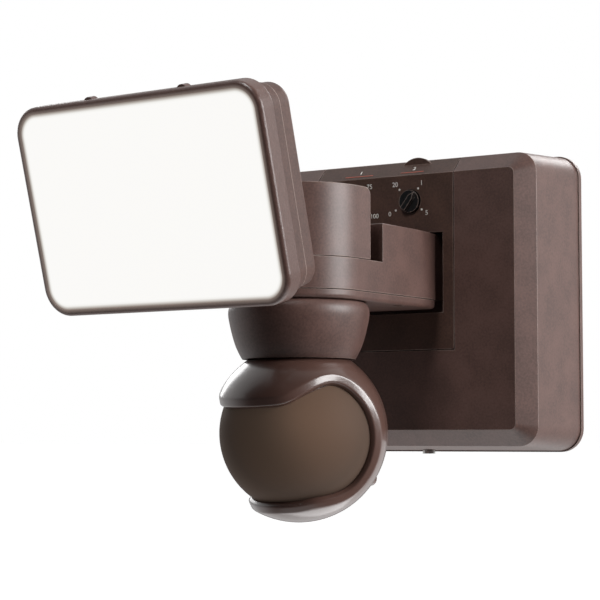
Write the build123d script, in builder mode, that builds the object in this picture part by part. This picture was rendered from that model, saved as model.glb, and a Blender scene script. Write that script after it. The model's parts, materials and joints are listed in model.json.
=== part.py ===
from build123d import *
import math
import os

os.makedirs("parts", exist_ok=True)

# Frame: millimetres, origin at the centre of the canopy's back on the wall face.
# +X is the viewer's right, +Y goes into the wall, +Z is up, so the light looks along -Y.

# ---- canopy (wall housing) ----
CANOPY_W = 174.4          # width at the wall
CANOPY_H = 155.4          # height at the wall
CANOPY_D = 58.4           # front plane's distance from the wall
CANOPY_DRAFT = 2.6        # the walls come in this much on each side up to the chamfer
CANOPY_CORNER = 12.0      # corner radius at the wall
CHAMFER_D = 9.0           # depth of the front chamfer
CHAMFER_W = 8.4           # width of the front chamfer seen from the front
FACE_CORNER = 3.2         # corner radius of the flat front
WALL_T = 2.6              # moulded wall
GASKET_T = 2.0            # foam seal against the wall
GASKET_W = 9.0
RIM_D = 5.0               # slightly wider skirt next to the wall
RIM_STEP = 0.5

# ---- control panel in the canopy ----
PANEL_W = 82.6
PANEL_BOTTOM = -25.2
PANEL_SEAM = 0.45         # open groove round the panel
PANEL_LAP = 4.5           # hidden edge behind the canopy's front wall
PANEL_LAP_T = 2.2
PANEL_LAP_TOP = 58.0
RECESS_W = 70.2           # opening for the arm
RECESS_BOTTOM = -6.1
RECESS_TOP = 35.8
RECESS_WALL = 2.0
RECESS_DEPTH = 9.4
LUG_X = 16.5              # latch lug on the panel's top edge
LUG_R = 5.6
LUG_RISE = 1.5
PILOT_R = 1.2         # pilot bore for the small self-tapping screws
SHANK_R = 1.17
CLEAR_R = 1.5             # clearance hole for those screws
THREAD_GAP = 0.02         # between a threaded tube or pin and its nut
FIT = 0.15                # play of a moulded piece that drops into another
BOARD_T = 1.6

# ---- wall bracket ----
BRACKET_W = 26.0
BRACKET_T = 2.0
BRACKET_GAP = 1.3         # the end tabs stop just inside the canopy's walls
BRACKET_END = CANOPY_H / 2 - WALL_T - BRACKET_GAP
BRACKET_LIFT = 2.6        # the ends pass over the gasket at this height
TAB_LOW = 18.0            # forward reach of the lower tab, which takes the bottom screw
TAB_TOP = 14.0
BOX_SPACING = 88.9        # wall box screws, 3 1/2 in apart
BOX_SLOT = 12.0
BOX_SCREW_R = 2.4
WIRE_HOLE_R = 10.0
BOTTOM_SCREW_Y = 11.0
BOTTOM_SCREW_Z = 0.5 - CANOPY_H / 2

# ---- electronics in the canopy ----
POST_R = 3.2
POST_END = 24.0           # the driver board lies on the posts at this distance from the wall
POSTS = [(x, z) for x in (-49.5, 49.5) for z in (-58.0, -30.0)]
DRIVER_W, DRIVER_H, DRIVER_Z = 108.0, 40.0, -44.0
CONTROL_W, CONTROL_H, CONTROL_Z = 66.0, 26.0, 54.7
CONTROL_POSTS = [(-28.0, 48.0), (28.0, 48.0)]

# ---- setting knobs ----
KNOB_X = 15.8
KNOB_Z = 52.7
KNOB_R = 5.9
KNOB_RISE = 3.2
KNOB_SUNK = 1.0           # depth of the dished well round each knob
KNOB_GAP = 0.5
KNOB_STEM_R = 3.0
KNOB_STEM_GAP = 0.05
KNOB_DISC = 1.5           # thickness of the disc above the panel; the pointer stands on it
KNOB_REST = {"brightness": (-KNOB_X, 118.0), "on_time": (KNOB_X, 53.0)}
KNOB_CENTRES = [(-KNOB_X, KNOB_Z), (KNOB_X, KNOB_Z)]
SWITCH_SIZE = 12.5
SWITCH_D = 7.0

# ---- arm ----
AXIS_Y = -141.0           # common vertical axis of barrel, collar and sensor
ARM_R = 34.0              # round nose of the arm, and half its width
ARM_TOP = 15.4
ARM_SEAM = 0.1            # underside of the arm shell
ARM_T = 3.0
UPRIGHT_Y = -117.5        # front face of the raised block behind the barrel
UPRIGHT_TOP = 34.8
FLARE_TOP_Y = -90.0       # the flanks turn in from here at the top
FLARE_LOW_Y = -71.0       # and from here at the bottom
ARM_NECK = 30.4           # half width where the arm enters the canopy
ARM_FLANGE_T = 3.0
ARM_FLANGE_W = 86.0
ARM_FLANGE_LOW = -13.0
ARM_FLANGE_TOP = 40.6
COVER_LOW = -4.6
COVER_GAP = 0.3
COVER_INSET = 0.35
COVER_T = 2.4
RISER_WALL = 5.0          # wall between the arm's cavity and its raised front face
RISER_W = 52.0            # width of the cavity in the raised part
RISER_BACK = 78.0         # the cavity ends this far behind the axis, over the cover
WIRE_W = 30.0             # window for the leads from the arm into the canopy
WIRE_H = 20.0
WIRE_Z = 15.0
ARM_POSTS = [(x, z) for x in (-39.9, 39.9) for z in (-9.6, 37.2)]
COVER_BOSSES = [(-27.5, 48.0), (27.5, 48.0)]
COVER_BOSS_R = 4.0
COVER_HEAD_R = 2.9        # heads of the cover's screws, sunk this deep into its underside
COVER_SUNK = 2.2
TRAY_BACK = 62.0          # the low cavity under the nose ends this far behind the axis
NECK_START = 83.0
ARM_END = 92.5
COVER_END = 80.0
COVER_ROUND = 2.0
COLLAR_TOP = -4.6
COLLAR_ROOF = 3.0

# ---- barrel on the arm ----
PAN = -2.9                # degrees, the barrel and head look slightly to the viewer's left
BARREL_R = 34.0
BARREL_BACK = 12.5
BARREL_LOW = 15.7
BARREL_TOP = 50.8
BARREL_T = 2.8
BARREL_FLOOR = 3.5
BARREL_EDGE = 4.0         # rounding of the top rear edge
BARREL_CAP_T = 2.5
CAP_BACK = 5.6
CAP_LEDGE = 1.2
LUG_IN = 8.6              # fork for the tilt joint: inner faces at this half distance
LUG_T = 6.0
EYE_R = 10.0
LUG_ROOT = 27.5           # the lugs start this far from the axis, inside the barrel's wall
CAP_NECK = 46.0

# ---- pivot tube through barrel, arm and collar ----
TUBE_R = 5.0
TUBE_BORE = 3.0
TUBE_LOW = -13.4
TUBE_TOP = 26.6
PIVOT_GAP = 0.06
NUT_AF = 15.0
NUT_H = 5.0
WASHER_R = 9.2
WASHER_T = 1.2
LINER_R = 22.0
TUBE_BOSS_R = 10.0
PORT_Z = 7.5              # side hole that lets the leads out of the tube inside the arm
PORT_R = 2.0

# ---- tilt joint ----
PIN_FWD = 56.0            # tilt pin in front of the vertical axis
PIN_Z = 33.0
PIN_R = 3.0
PIN_GAP = 0.06
PIN_HEAD_R = 5.5
PIN_HEAD_T = 3.0
PIN_NUT_AF = 9.5
EYE_HALF = 6.8            # half width of the neck's eye
NECK_H = 18.0
FOOT_W, FOOT_H, FOOT_T = 44.0, 34.0, 3.0
FOOT_Z = 3.4              # centre of the foot above the tilt pin
FOOT_SCREWS = [(x, FOOT_Z + z) for x in (-17.0, 17.0) for z in (-12.0, 12.0)]
TILT = 15.6               # degrees, the head looks down in the rest pose

# ---- lamp head, measured in its own frame: 0 is the front face, depth goes back ----
HEAD_FWD = 57.3           # front face in front of the tilt pin
HEAD_UP = 15.4            # centre of the face above the tilt pin
HEAD_W = 142.0
HEAD_H = 98.0
HEAD_CORNER = 13.5
BEZEL_D = 9.0
BEZEL_RIM = 3.2
BEZEL_ROUND = 2.2
BEZEL_T = 2.0
GLASS_T = 1.2             # flange of the diffuser behind the bezel's lip
GLASS_SUNK = 0.5
CASING_INSET = 3.0
CASING_END = 18.2
CASING_T = 2.6
SEAL_T = 0.8
REAR_INSET = 3.6
REAR_END = 28.0
REAR_ROUND = 3.5
REAR_WALL = 2.6
REAR_POST_IN = 11.5       # screw posts this far inside the head's outline
HEAD_POST_R = 3.4
REAR_POSTS = [(x * (HEAD_W / 2 - REAR_POST_IN), z * (HEAD_H / 2 - REAR_POST_IN))
              for x in (-1, 1) for z in (-1, 1)]
REAR_SEAT = 26.0          # depth of the sunk screw seats in the rear cover
REAR_HEAD_R = 2.6
CLIP_X = 27.0
CLIP_R = 3.0
CLIP_SINK = 1.8
BEZEL_LIP = 2.4
PLATE_END = 15.7          # depth of the casing's ledge, on which the heat plate lies
PLATE_T = 2.5
LED_PITCH_X, LED_PITCH_Z = 17.0, 18.0
LED_SIZE, LED_RISE = 5.0, 0.9
LED_ROWS = 4
LED_COLUMNS = 7

# ---- sensor collar and ball ----
COLLAR_LOW = -32.6
BALL_R = 43.5
BALL_SUNK = 7.7           # the ball's top stands this far up inside the collar
BALL_Z = COLLAR_LOW + BALL_SUNK - BALL_R
BALL_T = 4.6
BALL_PAN = -10.0          # degrees, rest pose
BALL_TILT = 8.0
SEAT_GAP = 0.3
WEB_LOW = -20.0
WEB_TOP = -17.0
STEM_R = 4.0
STEM_BORE = 2.2
STEM_LOW = -39.4
STEM_FLANGE_R = 9.0
STEM_FLANGE_T = 2.2
STEM_NUT_AF = 13.0
STEM_NUT_H = 4.0
SLOT_HALF = 16.4
SLOT_GAP = 0.4
SADDLE_HALF_W = 9.0
SADDLE_HALF_L = 21.0
SADDLE_T = 2.0
SPRING_R = 8.4            # conical spring washer that presses the saddle up into the ball
SPRING_H = 1.5
SPRING_GAP = 0.05
LENS_GAP = 0.12
LENS_T = 1.4
LENS_FLANGE = 2.4
LIP = 3.0                 # the through opening is this much smaller than the lip's outline
LIP_STEPS = 3             # the lip goes down to the lens in this many steps
SPLIT_BACK = 21.0         # front and rear shells part this far behind the ball's centre
SPLIT_GAP = 0.25
SPIGOT = 2.65             # the rear shell's rim reaches this far into the front shell
SPIGOT_T = 1.6
SHELL_POSTS = [(-17.5, -26.0), (17.5, -26.0)]
SHELL_SEAT = 25.5
SHELL_HEAD_R = 2.8
SHELL_POST_R = 4.4        # sleeve in the rear shell round the front shell's post
SENSOR_BOARD_R = 19.0
SENSOR_BOARD_FWD = -6.0
SENSOR_POSTS = [(-14.0, -8.0), (14.0, -8.0), (0.0, 14.0)]
SWIVEL_BOLT_R = 17.5
SWIVEL_PLATE_R = 22.2
SEAT_R = 22.5

# ---- sensor opening, seen from the side (ahead, up) and from the front ----
EAR_CENTRE = (21.0, -3.2)
EAR_R = 35.4
OPEN_TOP = 28.7
OPEN_LOW = -33.9
EAR_ROUND = 9.0
BROW_HALF = 26.4          # the brow hangs down between the two eyes of the opening
BROW_LOW = 20.6
BROW_SOFT = 11.0          # run of the S-curve at each end of the brow
CHIN_HALF = 20.0          # the lower edge dips this much in the middle
CHIN_DROP = 1.6
CHIN_SOFT = 9.0


def looking(origin, pan, tilt=0.0):
    """Plane facing the way a part looks: local x right, local y up, normal out of its front."""
    p, t = math.radians(pan), math.radians(tilt)
    right = (math.cos(p), math.sin(p), 0.0)
    ahead = (math.cos(t) * math.sin(p), -math.cos(t) * math.cos(p), -math.sin(t))
    return Plane(origin=origin, x_dir=right, z_dir=ahead)


def side_of(plane, origin):
    """Plane seen from the part's left side: local x ahead, local y up."""
    back = plane.x_dir * -1
    return Plane(origin=origin, x_dir=plane.z_dir, z_dir=back)


def level(z, pan=0.0, y=AXIS_Y):
    """Horizontal plane on the vertical axis: local x right, local y towards the wall."""
    p = math.radians(pan)
    return Plane(origin=(0, y, z), x_dir=(math.cos(p), math.sin(p), 0.0), z_dir=(0, 0, 1))


WALL = looking((0, 0, 0), 0.0)
ARM = level(0.0)
pan_rad = math.radians(PAN)
PIN_POINT = (PIN_FWD * math.sin(pan_rad), AXIS_Y - PIN_FWD * math.cos(pan_rad), PIN_Z)
HINGE = looking(PIN_POINT, PAN, TILT)
HEAD = HINGE.offset(HEAD_FWD)
HEAD = HEAD.shift_origin(HEAD.from_local_coords((0, HEAD_UP, 0)))
BALL_CENTRE = (0.0, AXIS_Y, BALL_Z)
BALL = looking(BALL_CENTRE, BALL_PAN, BALL_TILT)
SHELL_IN = BALL_R - BALL_T
SPIN = Plane(origin=(0, AXIS_Y, 0), x_dir=(1, 0, 0), z_dir=(0, -1, 0))
SPIN_AXIS = Axis((0, AXIS_Y, 0), (0, 0, 1))


def block(plane, width, height, radius, centre=(0.0, 0.0)):
    """Rectangle on a plane, rounded unless the radius is zero."""
    with BuildSketch(plane) as outline:
        with Locations(centre):
            if radius:
                RectangleRounded(width, height, radius)
            else:
                Rectangle(width, height)
    return outline.sketch


def disc(plane, radius, *centres, bore=0.0):
    """One or more equal discs or rings on a plane."""
    with BuildSketch(plane) as outline:
        with Locations(*(centres or [(0.0, 0.0)])):
            Circle(radius)
            if bore:
                Circle(bore, mode=Mode.SUBTRACT)
    return outline.sketch


def u_plan(plane, radius, back):
    """Half-round nose with straight flanks running back."""
    with BuildSketch(plane) as outline:
        with BuildLine():
            Polyline((-radius, 0), (-radius, back), (radius, back), (radius, 0))
            ThreePointArc((radius, 0), (0, -radius), (-radius, 0))
        make_face()
    return outline.sketch


def hexagon(plane, across_flats, bore):
    with BuildSketch(plane) as outline:
        RegularPolygon(across_flats / 2, 6, major_radius=False)
        Circle(bore, mode=Mode.SUBTRACT)
    return outline.sketch


def canopy_skin(inset):
    """Canopy body as two lofts: drafted walls, then the front chamfer."""
    w, h = CANOPY_W - 2 * inset, CANOPY_H - 2 * inset
    mid_w, mid_h = w - 2 * CANOPY_DRAFT, h - 2 * CANOPY_DRAFT
    narrowing = CHAMFER_W - inset * (math.hypot(CHAMFER_D, CHAMFER_W) - CHAMFER_W) / CHAMFER_D / 2
    corner = CANOPY_CORNER - inset
    shoulder = block(WALL.offset(CANOPY_D - CHAMFER_D - inset / 2), mid_w, mid_h, corner - 1.5)
    loft([block(WALL.offset(GASKET_T), w, h, corner), shoulder])
    face_corner = max(FACE_CORNER - inset, 0.8)
    face_w, face_h = mid_w - 2 * narrowing, mid_h - 2 * narrowing
    loft([shoulder, block(WALL.offset(CANOPY_D - inset), face_w, face_h, face_corner)])


def panel_window(grow, mode):
    """Box over the part of the front and the top chamfer that the control panel takes."""
    low = PANEL_BOTTOM - grow
    start = WALL.offset(CANOPY_D - CHAMFER_D - grow)
    outline = block(start, PANEL_W + 2 * grow, CANOPY_H - low, 0.6, (0, (CANOPY_H + low) / 2))
    extrude(outline, amount=CHAMFER_D * 2, mode=mode)


def screw(plane, head_r, head_t, shank_r, length, *centres, recess=False):
    """Pan-head screws: the plane lies under the heads, the shanks go against its normal.

    Only heads that a user's screwdriver reaches from outside get their cross recess.
    """
    extrude(disc(plane, head_r, *centres), amount=head_t)
    extrude(disc(plane, shank_r, *centres), amount=-length)
    if not recess:
        return
    with BuildSketch(plane.offset(head_t)) as cross:
        with Locations(*centres):
            Rectangle(head_r * 1.25, head_r * 0.24)
            Rectangle(head_r * 0.24, head_r * 1.25)
    extrude(cross.sketch, amount=-head_t * 0.55, mode=Mode.SUBTRACT)


def seen_from_wall(plane):
    """Same place as a wall plane, facing the wall: local y points down."""
    return Plane(origin=plane.origin, x_dir=plane.x_dir, z_dir=plane.z_dir * -1)


def seen_from_back(plane):
    """Same place, facing back, with local y still up: local x is mirrored."""
    return Plane(origin=plane.origin, x_dir=plane.x_dir * -1, z_dir=plane.z_dir * -1)


def arm_plan(z, half, neck, turn_in, start, end):
    """Plan of the arm's base: straight flanks that curve in towards the canopy."""
    bend = (half - (half - neck) / 4, turn_in + (NECK_START - turn_in) / 2)
    with BuildSketch(ARM.offset(z)) as outline:
        with BuildLine():
            for side in (-1, 1):
                Line((side * half, start), (side * half, turn_in))
                ThreePointArc((side * half, turn_in), (side * bend[0], bend[1]), (side * neck, NECK_START))
                Line((side * neck, NECK_START), (side * neck, end))
            Line((-neck, end), (neck, end))
            Line((-half, start), (half, start))
        make_face()
    return outline.sketch


def head_block(depth, inset):
    """The head's outline at a depth behind its face."""
    return block(HEAD.offset(-depth), HEAD_W - 2 * inset, HEAD_H - 2 * inset, HEAD_CORNER - inset)


def turned(*points):
    """Closed half profile, given as radius and height on the vertical axis."""
    with BuildSketch(SPIN) as profile:
        with BuildLine():
            Polyline(*points, close=True)
        make_face()
    return profile.sketch


def ball_solid(radius, mode=Mode.ADD):
    """Sphere in the ball's frame, with its poles and seam where the opening is."""
    with Locations(side_of(BALL, BALL_CENTRE).location):
        Sphere(radius, mode=mode)


def spigot_ring(radius, start, length):
    """Slice of a spherical shell in the ball's frame, from one depth over a length ahead."""
    with BuildPart() as ring:
        ball_solid(radius)
        ball_solid(SHELL_IN - SPIGOT_T, Mode.SUBTRACT)
        extrude(disc(BALL.offset(start), BALL_R), amount=length, mode=Mode.INTERSECT)
        # the clamp saddle travels under the top of the ball, so the ring is open there
        saddle_way = block(level(BALL_Z, BALL_PAN), 2 * SADDLE_HALF_W + 3.0, 3 * BALL_R, 1.0)
        extrude(saddle_way, amount=BALL_R, mode=Mode.SUBTRACT)
    return ring.part


def sensor_opening(grow):
    """Solid that cuts the sensor's opening: round ears at the sides, a hanging brow, a dipping chin.

    The side outline runs across the ball and the front outline along it; the opening is where both
    meet. A positive grow moves the whole edge outwards.
    """
    radius = EAR_R + grow
    top, low = OPEN_TOP + grow, OPEN_LOW - grow
    brow, inner, outer = BROW_LOW + grow, BROW_HALF - grow - BROW_SOFT / 2, BROW_HALF - grow + BROW_SOFT / 2
    chin, chin_in, chin_out = low - CHIN_DROP, CHIN_HALF - CHIN_SOFT / 2, CHIN_HALF + CHIN_SOFT / 2
    reach = 2 * BALL_R
    with BuildPart() as tool:
        with BuildSketch(side_of(BALL, BALL_CENTRE)) as ear:
            with Locations(EAR_CENTRE):
                Circle(radius)
                Rectangle(reach, 2 * radius, align=(Align.MIN, Align.CENTER))
            with Locations((0, (top + chin) / 2)):
                Rectangle(3 * reach, top - chin, mode=Mode.INTERSECT)
            fillet(ear.vertices().filter_by_position(Axis.X, -reach, EAR_CENTRE[0] - 3.0), EAR_ROUND)
        extrude(ear.sketch, amount=reach, both=True)
        with BuildSketch(BALL) as front:
            with BuildLine():
                Polyline((outer, top), (reach, top), (reach, low), (chin_out, low))
                Polyline((-chin_out, low), (-reach, low), (-reach, top), (-outer, top))
                for side in (-1, 1):
                    Spline((side * chin_in, chin), (side * chin_out, low), tangents=((side, 0), (side, 0)))
                Line((-chin_in, chin), (chin_in, chin))
                Spline((-outer, top), (-inner, brow), tangents=((1, 0), (1, 0)))
                Line((-inner, brow), (inner, brow))
                Spline((inner, brow), (outer, top), tangents=((1, 0), (1, 0)))
            make_face()
        extrude(front.sketch, amount=reach, both=True, mode=Mode.INTERSECT)
    return tool.part


def save(part, name):
    part.label = name
    export_step(part, f"parts/{name}.step")


# =====================================================================================
# Canopy: the fixed body, with its electronics and the control panel
# =====================================================================================
CANOPY_FRONT_IN = CANOPY_D - WALL_T
UNDERSIDE = Plane(origin=(0, -BOTTOM_SCREW_Y, BOTTOM_SCREW_Z), x_dir=(1, 0, 0), z_dir=(0, 0, -1))

with BuildPart() as canopy_core:
    canopy_skin(WALL_T)

with BuildPart() as canopy_shell:
    canopy_skin(0.0)
    skirt_w, skirt_h = CANOPY_W + 2 * RIM_STEP, CANOPY_H + 2 * RIM_STEP
    skirt = block(WALL.offset(GASKET_T), skirt_w, skirt_h, CANOPY_CORNER + RIM_STEP)
    extrude(skirt, amount=RIM_D - GASKET_T)
    add(canopy_core.part, mode=Mode.SUBTRACT)
    panel_window(PANEL_SEAM, Mode.SUBTRACT)
    extrude(disc(WALL.offset(POST_END), POST_R, *POSTS), amount=CANOPY_FRONT_IN - POST_END + 0.2)
    extrude(disc(WALL.offset(POST_END), PILOT_R, *POSTS), amount=9.0, mode=Mode.SUBTRACT)
    extrude(disc(UNDERSIDE.offset(1.0), 2.0), amount=-7.0, mode=Mode.SUBTRACT)
save(canopy_shell.part, "canopy_shell")

with BuildPart() as wall_gasket:
    seal_w, seal_h = CANOPY_W - 1.0, CANOPY_H - 1.0
    extrude(block(WALL, seal_w, seal_h, CANOPY_CORNER - 0.5), amount=GASKET_T)
    inner = block(WALL, seal_w - 2 * GASKET_W, seal_h - 2 * GASKET_W, CANOPY_CORNER - 4.0)
    extrude(inner, amount=GASKET_T, mode=Mode.SUBTRACT)
save(wall_gasket.part, "wall_gasket")

with BuildPart() as mounting_bracket:
    extrude(block(WALL, BRACKET_W, 2 * (BRACKET_END - GASKET_W), 4.0), amount=BRACKET_T)
    for side, reach in ((-1, TAB_LOW), (1, TAB_TOP)):
        # each end steps over the gasket, then turns forward along the canopy's wall
        edge = side * (BRACKET_END - BRACKET_T / 2)
        step = side * (BRACKET_END - GASKET_W - BRACKET_T / 2)
        riser = block(WALL, BRACKET_W, BRACKET_T, 0, (0, step))
        extrude(riser, amount=BRACKET_LIFT + BRACKET_T)
        bridge_h = abs(edge - step) + BRACKET_T
        bridge = block(WALL.offset(BRACKET_LIFT), BRACKET_W, bridge_h, 0, (0, (edge + step) / 2))
        extrude(bridge, amount=BRACKET_T)
        tab = block(WALL.offset(BRACKET_LIFT), BRACKET_W, BRACKET_T, 0, (0, edge))
        extrude(tab, amount=reach - BRACKET_LIFT)
    with BuildSketch(WALL) as box_slots:
        with Locations((0, -BOX_SPACING / 2), (0, BOX_SPACING / 2)):
            SlotOverall(BOX_SLOT, 2 * BOX_SCREW_R, rotation=90)
        Circle(WIRE_HOLE_R)
    extrude(box_slots.sketch, amount=BRACKET_T, mode=Mode.SUBTRACT)
    extrude(disc(UNDERSIDE, 1.6), amount=-10.0, mode=Mode.SUBTRACT)
save(mounting_bracket.part, "mounting_bracket")

with BuildPart() as bottom_screw:
    screw(UNDERSIDE.offset(0.3), 3.4, 1.8, 1.55, 9.0, (0, 0), recess=True)
save(bottom_screw.part, "bottom_screw")

RECESS_SIZE = RECESS_TOP - RECESS_BOTTOM
RECESS_MID = (0, (RECESS_TOP + RECESS_BOTTOM) / 2)

with BuildPart() as control_panel:
    canopy_skin(0.0)
    panel_window(0.0, Mode.INTERSECT)
    add(canopy_core.part, mode=Mode.SUBTRACT)
    lap_low = PANEL_BOTTOM - PANEL_LAP
    lap = block(WALL.offset(CANOPY_FRONT_IN - PANEL_LAP_T), PANEL_W + 2 * PANEL_LAP,
                PANEL_LAP_TOP - lap_low, 2.0, (0, (PANEL_LAP_TOP + lap_low) / 2))
    extrude(lap, amount=PANEL_LAP_T)
    behind = WALL.offset(CANOPY_D - RECESS_DEPTH)
    hood = block(behind, RECESS_W + 2 * RECESS_WALL, RECESS_SIZE + 2 * RECESS_WALL, 2.6, RECESS_MID)
    extrude(hood, amount=RECESS_DEPTH - WALL_T)
    extrude(disc(behind, 3.0, *ARM_POSTS), amount=RECESS_DEPTH - WALL_T)
    switch_back = WALL.offset(CANOPY_FRONT_IN - PANEL_LAP_T - SWITCH_D)
    extrude(disc(switch_back, 2.6, *CONTROL_POSTS), amount=SWITCH_D + 0.5)
    extrude(block(behind, RECESS_W, RECESS_SIZE, 0, RECESS_MID), amount=RECESS_DEPTH, mode=Mode.SUBTRACT)
    extrude(disc(behind, PILOT_R, *ARM_POSTS), amount=6.0, mode=Mode.SUBTRACT)
    extrude(disc(switch_back, PILOT_R, *CONTROL_POSTS), amount=6.0, mode=Mode.SUBTRACT)
    front = WALL.offset(CANOPY_D)
    extrude(disc(front, KNOB_R + KNOB_GAP, *KNOB_CENTRES), amount=-KNOB_SUNK, mode=Mode.SUBTRACT)
    extrude(disc(front, KNOB_STEM_R + 0.4, *KNOB_CENTRES), amount=-8.0, mode=Mode.SUBTRACT)
    with BuildSketch(WALL.offset(CANOPY_D - CHAMFER_D + 0.3)) as lug:
        with Locations((LUG_X, CANOPY_H / 2 - CANOPY_DRAFT + LUG_RISE - 2 * LUG_R)):
            Circle(2 * LUG_R)
            Rectangle(4 * LUG_R, 3.2 * LUG_R, align=(Align.CENTER, Align.MAX), mode=Mode.SUBTRACT)
    extrude(lug.sketch, amount=2.2)
save(control_panel.part, "control_panel")

for name, (x, pointer) in KNOB_REST.items():
    with BuildPart() as knob:
        top = WALL.offset(CANOPY_D + KNOB_DISC)
        extrude(disc(top, KNOB_R, (x, KNOB_Z)), amount=-(KNOB_DISC + KNOB_SUNK - 0.3))
        stem = KNOB_DISC + WALL_T + PANEL_LAP_T + SWITCH_D - 1.5
        extrude(disc(top, KNOB_STEM_R, (x, KNOB_Z)), amount=-stem)
        with BuildSketch(top) as pointer_bar:
            with Locations((x, KNOB_Z)):
                Polygon((-KNOB_R + 0.5, -1.7), (KNOB_R - 3.0, -1.7), (KNOB_R - 0.1, 0), (KNOB_R - 3.0, 1.7),
                        (-KNOB_R + 0.5, 1.7), align=None, rotation=pointer)
        extrude(pointer_bar.sketch, amount=KNOB_RISE - KNOB_DISC, taper=9)
    save(knob.part, f"{name}_knob")
    with BuildPart() as switch:
        extrude(block(switch_back, SWITCH_SIZE, SWITCH_SIZE, 0, (x, KNOB_Z)), amount=SWITCH_D)
        bore = disc(switch_back.offset(SWITCH_D), KNOB_STEM_R + KNOB_STEM_GAP, (x, KNOB_Z))
        extrude(bore, amount=-(SWITCH_D - 1.0), mode=Mode.SUBTRACT)
    save(switch.part, f"{name}_switch")

with BuildPart() as control_board:
    extrude(block(switch_back, CONTROL_W, CONTROL_H, 0, (0, CONTROL_Z)), amount=-BOARD_T)
    extrude(disc(switch_back, CLEAR_R, *CONTROL_POSTS), amount=-BOARD_T, mode=Mode.SUBTRACT)
save(control_board.part, "control_board")

with BuildPart() as control_screws:
    screw(seen_from_wall(switch_back.offset(-BOARD_T)), 2.4, 1.4, SHANK_R, 6.5,
          *[(x, -z) for x, z in CONTROL_POSTS])
save(control_screws.part, "control_screws")

post_plane = WALL.offset(POST_END)
wire_side = WALL.offset(POST_END - BOARD_T)

with BuildPart() as driver_board:
    extrude(block(post_plane, DRIVER_W, DRIVER_H, 0, (0, DRIVER_Z)), amount=-BOARD_T)
    extrude(disc(post_plane, CLEAR_R, *POSTS), amount=-BOARD_T, mode=Mode.SUBTRACT)
save(driver_board.part, "driver_board")

with BuildPart() as board_screws:
    screw(seen_from_wall(wire_side), 2.9, 1.6, SHANK_R, 8.0, *[(x, -z) for x, z in POSTS])
save(board_screws.part, "board_screws")

with BuildPart() as transformer:
    extrude(block(post_plane, 26.0, 22.0, 0, (-20, DRIVER_Z)), amount=20.0)
    extrude(block(post_plane.offset(4.0), 20.0, 28.0, 2.0, (-20, DRIVER_Z)), amount=12.0)
save(transformer.part, "transformer")

with BuildPart() as capacitor:
    extrude(disc(post_plane, 6.3, (14, -36)), amount=22.0)
    fillet(capacitor.faces().sort_by(Axis.Y)[0].edges(), 1.0)
save(capacitor.part, "capacitor")

with BuildPart() as relay:
    extrude(block(post_plane, 20.0, 13.0, 0, (20, -54)), amount=15.0)
save(relay.part, "relay")

with BuildPart() as terminal_block:
    extrude(block(wire_side, 26.0, 9.0, 0, (0, DRIVER_Z)), amount=-11.0)
    ways = disc(wire_side.offset(-11.0), 1.7, *[(x, DRIVER_Z) for x in (-8, 0, 8)])
    extrude(ways, amount=9.0, mode=Mode.SUBTRACT)
save(terminal_block.part, "terminal_block")

# =====================================================================================
# Arm, screwed to the control panel from inside the canopy
# =====================================================================================
UPRIGHT_START = UPRIGHT_Y - AXIS_Y
FLARE_TOP = FLARE_TOP_Y - AXIS_Y
FLARE_LOW = FLARE_LOW_Y - AXIS_Y
LEAD_PORT = Plane(origin=(0, AXIS_Y, PORT_Z), x_dir=(1, 0, 0), z_dir=(0, 1, 0))

with BuildPart() as arm_shell:
    loft([arm_plan(ARM_SEAM, ARM_R, ARM_NECK, FLARE_LOW, UPRIGHT_START, ARM_END),
          arm_plan(UPRIGHT_TOP, ARM_R, ARM_NECK, FLARE_TOP, UPRIGHT_START, ARM_END)])
    top_edges = arm_shell.faces().sort_by(Axis.Z)[-1].edges().sort_by(Axis.Y)[:-1]
    fillet(top_edges, 0.8)
    extrude(u_plan(ARM.offset(ARM_SEAM), ARM_R, UPRIGHT_START + 1.0), amount=ARM_TOP - ARM_SEAM)
    flange = block(WALL.offset(CANOPY_D - RECESS_DEPTH), ARM_FLANGE_W, ARM_FLANGE_TOP - ARM_FLANGE_LOW, 3.0,
                   (0, (ARM_FLANGE_TOP + ARM_FLANGE_LOW) / 2))
    extrude(flange, amount=-ARM_FLANGE_T)
    cavity_h = ARM_TOP - ARM_T - ARM_SEAM
    extrude(u_plan(ARM.offset(ARM_SEAM), ARM_R - ARM_T, TRAY_BACK), amount=cavity_h, mode=Mode.SUBTRACT)
    riser_start = UPRIGHT_START + RISER_WALL
    riser = block(ARM.offset(ARM_SEAM), RISER_W, RISER_BACK - riser_start, 0,
                  (0, (RISER_BACK + riser_start) / 2))
    extrude(riser, amount=UPRIGHT_TOP - ARM_T - ARM_SEAM, mode=Mode.SUBTRACT)
    extrude(disc(ARM.offset(ARM_SEAM), TUBE_BOSS_R), amount=ARM_TOP - ARM_SEAM - 0.5)
    extrude(disc(ARM.offset(ARM_SEAM), COVER_BOSS_R, *COVER_BOSSES), amount=ARM_TOP - ARM_SEAM - 0.5)
    lead_window = block(WALL, WIRE_W, WIRE_H, 0, (0, WIRE_Z))
    extrude(lead_window, amount=-(AXIS_Y + RISER_BACK) + 1.0, mode=Mode.SUBTRACT)
    extrude(disc(ARM, TUBE_R + PIVOT_GAP), amount=20.0, mode=Mode.SUBTRACT)
    extrude(disc(LEAD_PORT, PORT_R), amount=2 * TUBE_BOSS_R, mode=Mode.SUBTRACT)
    extrude(disc(ARM, PILOT_R, *COVER_BOSSES), amount=9.0, mode=Mode.SUBTRACT)
    extrude(disc(WALL.offset(40.0), 1.6, *ARM_POSTS), amount=15.0, mode=Mode.SUBTRACT)
save(arm_shell.part, "arm_shell")

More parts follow.
